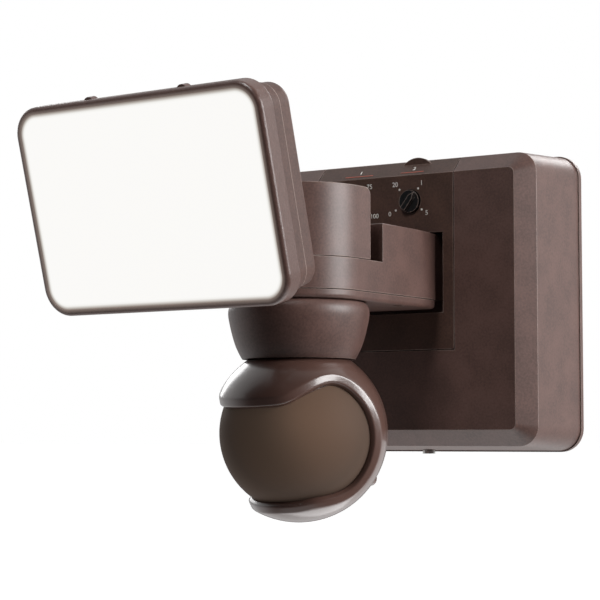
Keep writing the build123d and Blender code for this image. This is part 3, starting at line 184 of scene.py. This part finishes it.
class Shader(Wires):
    """A node material with a Principled shader."""

    def __init__(self, name, color, roughness, metallic=0.0, specular=0.5):
        self.material = bpy.data.materials.new(name)
        self.material.use_nodes = True
        super().__init__(self.material.node_tree)
        self.shader = self.tree.nodes["Principled BSDF"]
        self.roughness = roughness
        self.set("Base Color", (*color, 1.0))
        self.set("Roughness", roughness)
        self.set("Metallic", metallic)
        self.set("Specular IOR Level", specular)

    def set(self, socket, value):
        self.feed(self.shader.inputs[socket], value)

    def place(self):
        return self.node("ShaderNodeTexCoord").outputs["Object"]

    def noise(self, size, detail=2.0, roughness=0.5):
        """Noise whose features are about this many metres wide."""
        return self.node("ShaderNodeTexNoise", Vector=self.place(), Scale=1.0 / size,
                         Detail=detail, Roughness=roughness).outputs["Fac"]

    def grit(self, size):
        """Noise as of a spark-eroded mould, with sharp small features."""
        return self.noise(size, detail=3.0, roughness=0.6)

    def vary_roughness(self, factor, spread):
        low, high = spread
        self.set("Roughness",
                 self.mapped(factor, (0.0, 1.0), (self.roughness + low, self.roughness + high)))

    def bump(self, height, depth, edge=0.0):
        """Bump of this depth in metres, over edges rounded by so many metres."""
        made = self.node("ShaderNodeBump", Strength=1.0, Distance=depth, Height=height)
        if edge:
            rounded = self.node("ShaderNodeBevel", samples=EDGE_SAMPLES, Radius=edge)
            self.feed(made.inputs["Normal"], rounded.outputs["Normal"])
        self.set("Normal", made.outputs["Normal"])

    def painted_edge_highlights_and_groove_shade(self, color):
        """The colour with a thin painted highlight line along edges, and painted shade in grooves.
        """
        rounded = self.node("ShaderNodeBevel", samples=EDGE_SAMPLES, Radius=EDGE_WIDTH)
        flat = self.node("ShaderNodeNewGeometry")
        facing = self.vector("DOT_PRODUCT", rounded.outputs["Normal"], flat.outputs["Normal"])
        edge = self.mapped(facing, (EDGE_NONE, EDGE_FULL), (0.0, EDGE_SHARE))
        hollow = self.node("ShaderNodeAmbientOcclusion", samples=EDGE_SAMPLES,
                           Distance=HOLLOW_REACH).outputs["AO"]
        open_edge = self.maths("MULTIPLY", edge, self.maths("POWER", hollow, HOLLOW_POWER))
        mix = self.node("ShaderNodeMix", data_type="RGBA", Factor=open_edge)
        self.feed(mix.inputs[MIX_COLOR_A], color)
        self.feed(mix.inputs[MIX_COLOR_B], (*EDGE_HIGHLIGHT, 1.0))
        # painted shade: the colour darkened where the ambient occlusion finds a narrow groove
        groove_shaded = self.node("ShaderNodeVectorMath", operation="SCALE")
        self.feed(groove_shaded.inputs[0], mix.outputs[MIX_COLOR_OUT])
        self.feed(groove_shaded.inputs["Scale"],
                  self.mapped(hollow, (0.0, HOLLOW_CLEAR), (HOLLOW_DARK, 1.0)))
        return groove_shaded.outputs["Vector"]

    def past_window(self):
        """Metres outside the outline of the head's lit window, below zero inside it."""
        offset = self.vector("SUBTRACT", self.place(), FACE_CENTRE)
        over = []
        for axis, half in ((FACE_RIGHT, WINDOW_HALF_W), (FACE_UP, WINDOW_HALF_H)):
            along = self.maths("ABSOLUTE", self.vector("DOT_PRODUCT", offset, axis))
            over.append(self.maths("SUBTRACT", along, half - WINDOW_CORNER))
        squares = [self.maths("POWER", self.maths("MAXIMUM", side, 0.0), 2.0) for side in over]
        round_part = self.maths("SQRT", self.maths("ADD", *squares))
        flat_part = self.maths("MINIMUM", self.maths("MAXIMUM", *over), 0.0)
        return self.maths("SUBTRACT", self.maths("ADD", round_part, flat_part), WINDOW_CORNER)


def tinted(color, share):
    return tuple(min(c * share, 1.0) for c in color)


def moulded_bronze(name, color, grain_size, depth, roughness, specular=0.5):
    """Texture of moulded plastic: fine pits, a faint mottling and a soft sheen."""
    s = Shader(name, color, roughness, specular=specular)
    both = s.maths("ADD", s.noise(MOTTLE_WIDE), s.noise(MOTTLE_SPECK, detail=1.0))
    mottle = s.ramp(s.maths("MULTIPLY", both, 0.5),
                    [(MOTTLE_FROM, tinted(color, MOTTLE_DARK)),
                     (MOTTLE_TO, tinted(color, MOTTLE_LIGHT))])
    # painted highlights along the edges and painted shade in grooves, over the mottling
    s.set("Base Color", s.painted_edge_highlights_and_groove_shade(mottle))
    fine = s.grit(grain_size)
    s.vary_roughness(fine, MOULD_SPREAD)
    s.bump(fine, depth, edge=0.45 * MM)
    return s.material


def ball_bronze():
    """Smooth, glossier bronze of the sensor's shell."""
    s = Shader("ball_bronze", BRONZE_BALL, roughness=0.30)
    s.set("Coat Weight", 0.6)
    s.set("Coat Roughness", 0.14)
    fine = s.grit(0.9 * MM)
    s.vary_roughness(fine, BALL_SPREAD)
    s.bump(fine, depth=0.04 * MM, edge=0.3 * MM)
    return s.material


def bezel_bronze():
    """Leather-grained bezel; its lip catches the light of the window."""
    s = Shader("bezel_bronze", BRONZE, roughness=0.36)
    fine = s.grit(0.9 * MM)
    s.set("Base Color", s.ramp(fine, [(0.30, tinted(BRONZE, 0.80)), (0.70, tinted(BRONZE, 1.22))]))
    s.vary_roughness(fine, BEZEL_SPREAD)
    s.bump(fine, depth=0.10 * MM, edge=0.45 * MM)
    s.set("Emission Color", (*SPILL_LIGHT, 1.0))
    s.set("Emission Strength",
          s.mapped(s.past_window(), (0.0, SPILL_WIDTH), (SPILL_STRENGTH, 0.0)))
    return s.material


def glowing_diffuser():
    """Opal panel lit from behind, soft and brownish towards its edge."""
    s = Shader("glowing_diffuser", (0.06, 0.06, 0.06), roughness=0.35, specular=0.2)
    reach = s.mapped(s.past_window(), (-WINDOW_FADE, 0.0))
    s.set("Emission Color", s.ramp(reach, WINDOW_LIGHT))
    s.set("Emission Strength", WINDOW_STRENGTH)
    return s.material


def lens_brown():
    """Milky brown lens, with painted light: a warmer colour and a faint painted glow towards its
    middle, its own darker brown at the rim.
    """
    s = Shader("lens_brown", LENS_DARK, roughness=0.60, specular=0.05)
    away = s.vector("LENGTH", s.vector("SUBTRACT", s.place(), LENS_GLOW_AT))
    reach = s.mapped(away, (LENS_GLOW_FROM, LENS_GLOW_TO))
    # painted light: warmer colour near LENS_GLOW_AT, the lens's own brown further out, and a
    # painted glow as emission
    s.set("Base Color", s.ramp(reach, [(0.0, LENS_PAINTED_WARMTH), (1.0, LENS_DARK)]))
    s.set("Emission Color", (*LENS_PAINTED_GLOW_COLOR, 1.0))
    s.set("Emission Strength", s.mapped(reach, (0.0, 1.0), (LENS_PAINTED_GLOW, LENS_PAINTED_GLOW_RIM)))
    s.bump(s.noise(9 * MM), depth=0.05 * MM)
    return s.material


def metal(name, color, roughness, scratch=0.3 * MM):
    """Bare metal with fine marks of this size."""
    s = Shader(name, color, roughness, metallic=1.0)
    marks = s.noise(scratch, detail=4.0)
    s.vary_roughness(marks, METAL_SPREAD)
    s.bump(marks, depth=0.01 * MM, edge=0.2 * MM)
    return s.material


def plastic(name, color, roughness, depth=0.015 * MM, painted_edges=False):
    """Plain plastic with a grain of this depth, and, when asked, painted highlights along its
    edges and painted shade in grooves.
    """
    s = Shader(name, color, roughness)
    if painted_edges:
        plain = s.node("ShaderNodeRGB").outputs["Color"]
        plain.default_value = (*color, 1.0)
        s.set("Base Color", s.painted_edge_highlights_and_groove_shade(plain))
    fine = s.noise(0.6 * MM)
    s.vary_roughness(fine, PLASTIC_SPREAD)
    s.bump(fine, depth, edge=0.25 * MM)
    return s.material


def circuit_board():
    """Green solder mask with lighter tracks under it."""
    s = Shader("circuit_board", (0.02, 0.12, 0.05), roughness=0.35)
    tracks = s.node("ShaderNodeTexVoronoi", feature="DISTANCE_TO_EDGE", Vector=s.place(),
                    Scale=1.0 / (5 * MM)).outputs["Distance"]
    s.set("Base Color",
          s.ramp(tracks, [(0.04, (0.035, 0.20, 0.08)), (0.09, (0.012, 0.09, 0.035))]))
    s.bump(tracks, depth=0.03 * MM)
    return s.material


def copper_winding():
    """Yellow tape over a wound coil, with the turns showing as fine ridges."""
    s = Shader("copper_winding", (0.55, 0.40, 0.05), roughness=0.4)
    turns = s.node("ShaderNodeTexWave", Vector=s.place(), Scale=1.0 / (6 * MM), Distortion=0.4)
    s.bump(turns.outputs["Fac"], depth=0.05 * MM, edge=0.3 * MM)
    return s.material


# what each material slot of the record looks like
FINISH = {
    "ball": ball_bronze(),
    "lens": lens_brown(),
    "diffuser": glowing_diffuser(),
    # the knob gets painted edge highlights and painted shade in its grooves
    "knob": plastic("knob_black", (0.010, 0.010, 0.011), 0.14, depth=0.003 * MM, painted_edges=True),
    "housing": moulded_bronze("housing_bronze", BRONZE, grain_size=0.55 * MM,
                              depth=0.030 * MM, roughness=0.42),
    "switch": plastic("dark_plastic", (0.035, 0.040, 0.055), 0.40),
    "steel": metal("zinc_steel", (0.60, 0.60, 0.58), 0.32),
    "board": circuit_board(),
    "led_plate": metal("heat_spreader", (0.72, 0.73, 0.74), 0.38, scratch=0.8 * MM),
    "led_white": plastic("white_mask", (0.80, 0.80, 0.78), 0.35),
    "rubber": plastic("black_rubber", (0.018, 0.018, 0.018), 0.72, depth=0.03 * MM),
    "bearing": plastic("nylon", (0.75, 0.73, 0.66), 0.45),
    "wound": copper_winding(),
    "can": metal("capacitor_sleeve", (0.05, 0.07, 0.16), 0.40),
    "terminal": plastic("terminal_green", (0.05, 0.20, 0.09), 0.38),
    "detector": metal("detector_can", (0.60, 0.56, 0.46), 0.28),
}
# nodes that look different from the rest of their slot
head_bronze = moulded_bronze("head_bronze", BRONZE_HEAD, grain_size=0.80 * MM,
                             depth=0.040 * MM, roughness=0.46, specular=0.32)
OWN_FINISH = {
    "head_bezel": bezel_bronze(),
    "head_casing": head_bronze,
    "rear_cover": head_bronze,
    "control_panel": moulded_bronze("panel_bronze", BRONZE_PANEL, grain_size=0.40 * MM,
                                    depth=0.020 * MM, roughness=0.45, specular=0.35),
}

for part in frame["record"]["subparts"]:
    node = nodes[part["node"]]
    node.data.materials.clear()
    node.data.materials.append(OWN_FINISH.get(part["node"], FINISH[part["material_slot"]]))


# =========================================================================================
# Sensor's front shell, with the smooth slanted lip that the CAD shell steps down in
# =========================================================================================
# the shell's sizes are in mm, measured from the ball's centre
BALL_R = 43.5
SHELL_IN = 38.9
SPLIT_AT = -21.0          # the shell ends this far behind the ball's centre
EAR_AHEAD, EAR_UP, EAR_R = 25.0, -3.0, 38.5
OPEN_TOP, OPEN_LOW = 31.5, -33.9
BROW_LOW, BROW_FROM, BROW_TO = 21.0, 22.0, 34.0
CHIN_LOW, CHIN_FROM, CHIN_TO = -35.2, 15.0, 22.0
CORNER_SOFT = 7.0         # how roundly the outlines run into each other
# the lip from outside in: distance inside the outline, distance from the ball's centre
LIP = [(-1.3, 43.50), (-0.8, 43.49), (-0.4, 43.43), (0.0, 43.28), (0.4, 43.04), (0.9, 42.72),
       (1.5, 42.36), (2.1, 42.00), (2.6, 41.68), (2.85, 41.44), (3.0, 41.10), (3.06, 40.60),
       (3.08, 39.60), (3.08, 38.90)]
TURNS = 1440              # directions in which the outline is looked for
BEND_IN, BEND_OUT = 0.3, 2.2      # angles from straight ahead, inside the opening and outside
HALVINGS = 24
SPOKES = 560              # sections of the shell, evenly spaced along the outline
SMOOTH_ROUNDS = 70
SHELL_RINGS = 44
SLOT_HALF, SLOT_HALF_W = 12.0, 4.4
SLOT_FROM, SLOT_TO, SLOT_SIDES = 25.0, 55.0, 32
SHELL_POSTS = [(-17.5, -26.0), (17.5, -26.0)]
POST_R, POST_BORE, POST_L, POST_SIDES = 3.6, 1.2, 9.0, 24


def eased(value, start, end):
    t = min(max((value - start) / (end - start), 0.0), 1.0)
    return t * t * (3 - 2 * t)


def softer_max(a, b, soft):
    h = max(soft - abs(a - b), 0.0) / soft
    return max(a, b) + h * h * soft / 4


def outside_opening(ahead, right, up):
    """Below zero inside the opening: round ears at the sides, a hanging brow, a dipping chin."""
    ear = math.hypot(min(ahead - EAR_AHEAD, 0.0), up - EAR_UP) - EAR_R
    top = BROW_LOW + (OPEN_TOP - BROW_LOW) * eased(abs(right), BROW_FROM, BROW_TO)
    low = CHIN_LOW + (OPEN_LOW - CHIN_LOW) * eased(abs(right), CHIN_FROM, CHIN_TO)
    return softer_max(softer_max(ear, up - top, CORNER_SOFT), low - up, CORNER_SOFT)


def on_ball(bend, turn):
    """Unit direction as ahead, right, up: bent away from straight ahead, turned from up."""
    return Vector((math.cos(bend), math.sin(bend) * math.sin(turn),
                   math.sin(bend) * math.cos(turn)))


def from_ball(ahead, right, up):
    """The frame's point this many mm from the ball's centre."""
    return BALL_CENTRE + (BALL_AHEAD * ahead + BALL_RIGHT * right + BALL_UP * up) * MM


def opening_outline():
    """The outline as evenly spaced directions, smoothed all round."""
    found = []
    for i in range(TURNS):
        turn = 2 * math.pi * i / TURNS
        near, far = BEND_IN, BEND_OUT
        for _ in range(HALVINGS):
            middle = (near + far) / 2
            if outside_opening(*(on_ball(middle, turn) * BALL_R)) < 0:
                near = middle
            else:
                far = middle
        found.append(on_ball(near, turn))
    steps = [(found[(i + 1) % TURNS] - found[i]).length for i in range(TURNS)]
    whole = sum(steps)
    even, at, walked = [], 0, 0.0
    for k in range(SPOKES):
        wanted = whole * k / SPOKES
        while walked + steps[at] < wanted:
            walked += steps[at]
            at += 1
        share = (wanted - walked) / steps[at]
        even.append(found[at].lerp(found[(at + 1) % TURNS], share))
    for _ in range(SMOOTH_ROUNDS):
        even = [((even[i - 1] + even[(i + 1) % SPOKES]) / 4 + even[i] / 2).normalized()
                for i in range(SPOKES)]
    return even


def shell_section(point, tangent):
    """Closed section of the shell at one point of the outline: skin, lip, inside, rim."""
    inward = point.cross(tangent).normalized()
    if inward.x < 0:
        inward = -inward
    lip = []
    for distance, radius in LIP:
        angle = distance / BALL_R
        lip.append((point * math.cos(angle) + inward * math.sin(angle)) * radius)
    split = math.acos(SPLIT_AT / BALL_R)

    def back_from(start, radius, count):
        """Points at this radius, from the start's direction back to the split."""
        way = start.normalized()
        bend, turn = math.acos(way.x), math.atan2(way.y, way.z)
        return [on_ball(bend + (split - bend) * j / count, turn) * radius
                for j in range(1, count + 1)]

    skin = back_from(lip[0], BALL_R, SHELL_RINGS)
    inside = back_from(lip[-1], SHELL_IN, SHELL_RINGS // 2)
    return skin[::-1] + lip + inside


def screw_post(right, up, first):
    """Tube inside the shell that takes a screw from behind; its points count from first."""
    rings = [(POST_R, SPLIT_AT), (POST_R, SPLIT_AT + POST_L), (POST_BORE, SPLIT_AT + POST_L),
             (POST_BORE, SPLIT_AT)]
    points, faces = [], []
    for ring, (radius, ahead) in enumerate(rings):
        a = first + ring * POST_SIDES
        b = first + (ring + 1) % len(rings) * POST_SIDES
        for i in range(POST_SIDES):
            angle = 2 * math.pi * i / POST_SIDES
            points.append(from_ball(ahead, right + radius * math.cos(angle),
                                    up + radius * math.sin(angle)))
            j = (i + 1) % POST_SIDES
            faces.append((a + i, a + j, b + j, b + i))
    return points, faces


def solid(name, points, faces):
    """An object of this closed mesh, with its faces turned outwards."""
    mesh = bpy.data.meshes.new(name)
    mesh.from_pydata(points, [], faces)
    shaped = bmesh.new()
    shaped.from_mesh(mesh)
    bmesh.ops.recalc_face_normals(shaped, faces=shaped.faces)
    shaped.to_mesh(mesh)
    shaped.free()
    return add_object(name, mesh)


def smooth_front_shell():
    outline = opening_outline()
    sections = [shell_section(point, outline[(i + 1) % SPOKES] - outline[i - 1])
                for i, point in enumerate(outline)]
    size = len(sections[0])
    points = [from_ball(*point) for section in sections for point in section]
    faces = []
    for i in range(SPOKES):
        a, b = i * size, (i + 1) % SPOKES * size
        for j in range(size):
            k = (j + 1) % size
            faces.append((a + j, b + j, b + k, a + k))
    for right, up in SHELL_POSTS:
        post_points, post_faces = screw_post(right, up, len(points))
        points += post_points
        faces += post_faces
    return solid("sensor_front_moulding", points, faces)


def stem_slot_cutter():
    """Upright prism through the top of the shell, where the clamp's stem passes."""
    level = Vector((BALL_AHEAD.x, BALL_AHEAD.y, 0.0)).normalized()
    corners = []
    for i in range(SLOT_SIDES):
        angle = 2 * math.pi * (i + 0.5) / SLOT_SIDES
        end = math.copysign(SLOT_HALF, math.cos(angle))
        corners.append(level * (end + SLOT_HALF_W * math.cos(angle))
                       + BALL_RIGHT * SLOT_HALF_W * math.sin(angle))
    points = [BALL_CENTRE + (corner + Vector((0, 0, z))) * MM
              for z in (SLOT_FROM, SLOT_TO) for corner in corners]
    n = SLOT_SIDES
    faces = [tuple(range(n)), tuple(range(2 * n - 1, n - 1, -1))]
    faces += [((i + 1) % n, i, n + i, n + (i + 1) % n) for i in range(n)]
    return solid("stem_slot", points, faces)


front_shell, slot_cutter = smooth_front_shell(), stem_slot_cutter()
cut = front_shell.modifiers.new("slot", "BOOLEAN")
cut.operation, cut.solver, cut.object = "DIFFERENCE", "EXACT", slot_cutter
bpy.context.view_layer.update()
shell_as_cut = front_shell.evaluated_get(bpy.context.evaluated_depsgraph_get())
cut_mesh = bpy.data.meshes.new_from_object(shell_as_cut)
front_shell.modifiers.clear()
front_shell.data = cut_mesh
bpy.data.objects.remove(slot_cutter)
for face in cut_mesh.polygons:
    face.use_smooth = True
cut_mesh.materials.clear()
cut_mesh.materials.append(FINISH["ball"])
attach(front_shell, "sensor_ball")
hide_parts("sensor_front_shell")


# =========================================================================================
# Printed marks on the control panel: plain numbers, dots and two rules
# =========================================================================================
INK_PROUD, INK_SUNK = 0.12 * MM, 0.02 * MM
DOT_R, DOT_SIDES = 0.55 * MM, 24
RULE_WIDTH = 0.55 * MM
DIAL_DIGIT, LABEL_DIGIT = 2.5 * MM, 2.8 * MM
TYPE_SIZE = 1.4           # font size over the height of a digit
# places and lengths below are in mm
DIAL_DOTS = [(-6.3, 6.6), (4.9, 6.6), (-8.6, -4.2), (7.0, -4.6)]
NUMBER_REACH = 1.42       # the numbers stand this many times as far out as the dots
# side of the canopy, and the numbers beside the dots
DIALS = {"on_time": (1, ("20", "1", "0", "5")), "brightness": (-1, ("50", "75", "25", "100"))}
# centre and length of the rule, and the number above it
TOP_LABELS = {"brightness": (-16.3, 17.0, "1"), "on_time": (16.3, 13.7, "2")}
RULE_AT, LABEL_AT = 68.3, 70.4
CHAMFER_FOOT = 66.7       # height of the front's upper edge
CHAMFER_SLOPE = math.atan2(9.0, 8.4)     # how far the top chamfer leans back from upright

white_print = plastic("white_print", PRINT_WHITE, 0.5, depth=0.003 * MM)
red_print = plastic("red_print", PRINT_RED, 0.5, depth=0.003 * MM)


def on_front(x, z):
    """Place on the flat front: local x right, local y up, local z out of the panel."""
    axes = Matrix(((1, 0, 0), (0, 0, -1), (0, 1, 0))).to_4x4()
    return Matrix.Translation((x * MM, FRONT_Y, z * MM)) @ axes


def on_top_chamfer(x, z):
    """Place on the sloping top chamfer at a height above the centre."""
    run = (z - CHAMFER_FOOT) * math.tan(CHAMFER_SLOPE)
    right = Vector((1, 0, 0))
    up = Vector((0, math.sin(CHAMFER_SLOPE), math.cos(CHAMFER_SLOPE)))
    out = Vector((0, -math.cos(CHAMFER_SLOPE), math.sin(CHAMFER_SLOPE)))
    axes = Matrix((right, up, out)).transposed().to_4x4()
    return Matrix.Translation(Vector((x * MM, FRONT_Y + run * MM, z * MM))) @ axes


def add_print(name, mesh, material, matrix):
    """A thin printed piece on the canopy."""
    piece = add_object(name, mesh)
    mesh.materials.clear()
    mesh.materials.append(material)
    piece.matrix_world = matrix
    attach(piece, "canopy")


def prism_mesh(name, corners):
    """Thin plate with this outline, standing on the local plane."""
    n = len(corners)
    mesh = bpy.data.meshes.new(name)
    points = [(x, y, z) for z in (-INK_SUNK, INK_PROUD) for x, y in corners]
    sides = [(i, (i + 1) % n, n + (i + 1) % n, n + i) for i in range(n)]
    mesh.from_pydata(points, [], [tuple(reversed(range(n))), tuple(range(n, 2 * n)), *sides])
    return mesh


def dot_mesh(name):
    angles = [2 * math.pi * i / DOT_SIDES for i in range(DOT_SIDES)]
    return prism_mesh(name, [(DOT_R * math.cos(a), DOT_R * math.sin(a)) for a in angles])


def rule_mesh(name, length):
    x, y = length / 2, RULE_WIDTH / 2
    return prism_mesh(name, [(-x, -y), (x, -y), (x, y), (-x, y)])


def number_mesh(name, text, height):
    """A plain number as a thin mesh."""
    curve = bpy.data.curves.new(name, "FONT")
    curve.body = text
    curve.size = height * TYPE_SIZE
    curve.align_x, curve.align_y = "CENTER", "CENTER"
    curve.extrude = INK_PROUD
    curve.resolution_u = 4
    shown = add_object(name + "_text", curve)
    mesh = bpy.data.meshes.new_from_object(shown)
    bpy.data.objects.remove(shown)
    mesh.name = name
    return mesh


for dial, (side, numbers) in DIALS.items():
    centre_x, centre_z = side * KNOB_CENTRE.x / MM, KNOB_CENTRE.z / MM
    for i, ((dx, dz), number) in enumerate(zip(DIAL_DOTS, numbers)):
        dot, digit = f"{dial}_dot_{i}", f"{dial}_number_{i}"
        add_print(dot, dot_mesh(dot), white_print, on_front(centre_x + dx, centre_z + dz))
        add_print(digit, number_mesh(digit, number, DIAL_DIGIT), white_print,
                  on_front(centre_x + dx * NUMBER_REACH, centre_z + dz * NUMBER_REACH))

for dial, (x, length, number) in TOP_LABELS.items():
    rule, label = f"{dial}_rule", f"{dial}_label"
    add_print(rule, rule_mesh(rule, length * MM), red_print, on_top_chamfer(x, RULE_AT))
    add_print(label, number_mesh(label, number, LABEL_DIGIT), white_print,
              on_top_chamfer(x, LABEL_AT))


# =========================================================================================
# Studio: pale floor, white surroundings behind, darker room in front
# =========================================================================================
CAMERA_AT = Vector((514.0, -931.4, -71.3)) * MM
CAMERA_TURN, CAMERA_PITCH = math.radians(33.0), math.radians(4.12)
PHOTO_SIZE = 600.0        # pixels across
FOCAL_PIXELS = 1927.3
SENSOR = 36.0             # mm
LOOK = Vector((-math.sin(CAMERA_TURN), math.cos(CAMERA_TURN), 0.0))

camera_data = bpy.data.cameras.new("camera")
camera = add_object("camera", camera_data)
camera.location = CAMERA_AT
camera.rotation_mode = "XYZ"
camera.rotation_euler = (math.pi / 2 + CAMERA_PITCH, 0.0, CAMERA_TURN)
camera_data.sensor_width = SENSOR
camera_data.lens = SENSOR * FOCAL_PIXELS / PHOTO_SIZE
camera_data.clip_start, camera_data.clip_end = 0.01, 50.0
bpy.context.scene.camera = camera

FLOOR_Z, FLOOR_HALF = -0.20, 60.0
FLOOR_GLOW = 0.75         # the floor shows white, and darker only in the object's shadow
FLOOR_CORNERS = [(-1, -1), (1, -1), (1, 1), (-1, 1)]
floor_mesh = bpy.data.meshes.new("floor")
floor_mesh.from_pydata([(x * FLOOR_HALF, y * FLOOR_HALF, FLOOR_Z) for x, y in FLOOR_CORNERS],
                       [], [(0, 1, 2, 3)])
floor = add_object("floor", floor_mesh)
floor_look = Shader("pale_floor", FLOOR_PALE, roughness=0.9, specular=0.1)
floor_look.set("Emission Color", (*WHITE, 1.0))
floor_look.set("Emission Strength", FLOOR_GLOW)
floor_mesh.materials.append(floor_look.material)
# the camera sees the floor; what lights the object from below is the surroundings' pale table
floor.visible_diffuse = floor.visible_glossy = floor.visible_shadow = False

ROOM_RISE = 0.10          # the surroundings' light and dark sides lean by this slope
# brightness of the surroundings, from the camera's side (0) to straight behind the object (1)
ROOM_LEVELS = [(0.36, 0.07), (0.66, 1.0), (0.94, 1.0), (0.99, 0.16)]
TABLE_FROM, TABLE_FULL = -0.55, -0.80    # the pale table fills the room below these heights
TABLE_PLACE = 0.62        # it is as bright as the room is at this place
WORLD_ON_MATT = 0.50      # strength of the surroundings as light
WORLD_IN_GLOSS = 0.85     # and in reflections


def surroundings():
    """White for the camera; for the object white behind, pale below, dark at the camera."""
    world = bpy.data.worlds.new("studio")
    bpy.context.scene.world = world
    world.use_nodes = True
    world.node_tree.nodes.clear()
    sky = Wires(world.node_tree)
    way = sky.node("ShaderNodeTexCoord").outputs["Generated"]
    along = sky.vector("DOT_PRODUCT", way, (LOOK.x, LOOK.y, ROOM_RISE))
    height = sky.node("ShaderNodeSeparateXYZ", Vector=way).outputs["Z"]
    table = sky.mapped(height, (TABLE_FROM, TABLE_FULL), (0.0, TABLE_PLACE))
    level = sky.ramp(sky.maths("MAXIMUM", sky.mapped(along, (-1.0, 1.0)), table),
                     [(at, (bright, bright, bright)) for at, bright in ROOM_LEVELS])
    rays = sky.node("ShaderNodeLightPath").outputs
    strength = sky.mapped(rays["Is Glossy Ray"], (0.0, 1.0), (WORLD_ON_MATT, WORLD_IN_GLOSS))
    room = sky.node("ShaderNodeBackground", Color=level, Strength=strength)
    white = sky.node("ShaderNodeBackground", Color=(*WHITE, 1.0), Strength=1.0)
    shown = sky.node("ShaderNodeMixShader", Fac=rays["Is Camera Ray"])
    sky.feed(shown.inputs[1], room.outputs["Background"])
    sky.feed(shown.inputs[2], white.outputs["Background"])
    sky.node("ShaderNodeOutputWorld", Surface=shown.outputs["Shader"])


LIGHT_TARGET = Vector((0.0, -0.10, 0.0))
# each lamp's place, side in metres and power in watts
SOFTBOXES = {
    "right": ((1.53, 0.22, 0.42), 0.9, 35.5),
    "left": ((-1.25, 0.62, 0.55), 0.6, 4.0),
    "top": ((0.10, 1.25, 0.84), 0.5, 6.0),
    "fill": ((0.10, -1.1, 1.15), 0.4, 11.0),
    "below": ((0.15, 0.30, -1.15), 1.5, 11.5),
}

surroundings()
for name, (at, size, power) in SOFTBOXES.items():
    light = bpy.data.lights.new(name, "AREA")
    light.shape = "SQUARE"
    light.size = size
    light.energy = power
    lamp = add_object(name, light)
    lamp.location = at
    lamp.rotation_mode = "QUATERNION"
    lamp.rotation_quaternion = (LIGHT_TARGET - Vector(at)).to_track_quat("-Z", "Y")

bpy.context.scene.view_settings.view_transform = "Standard"
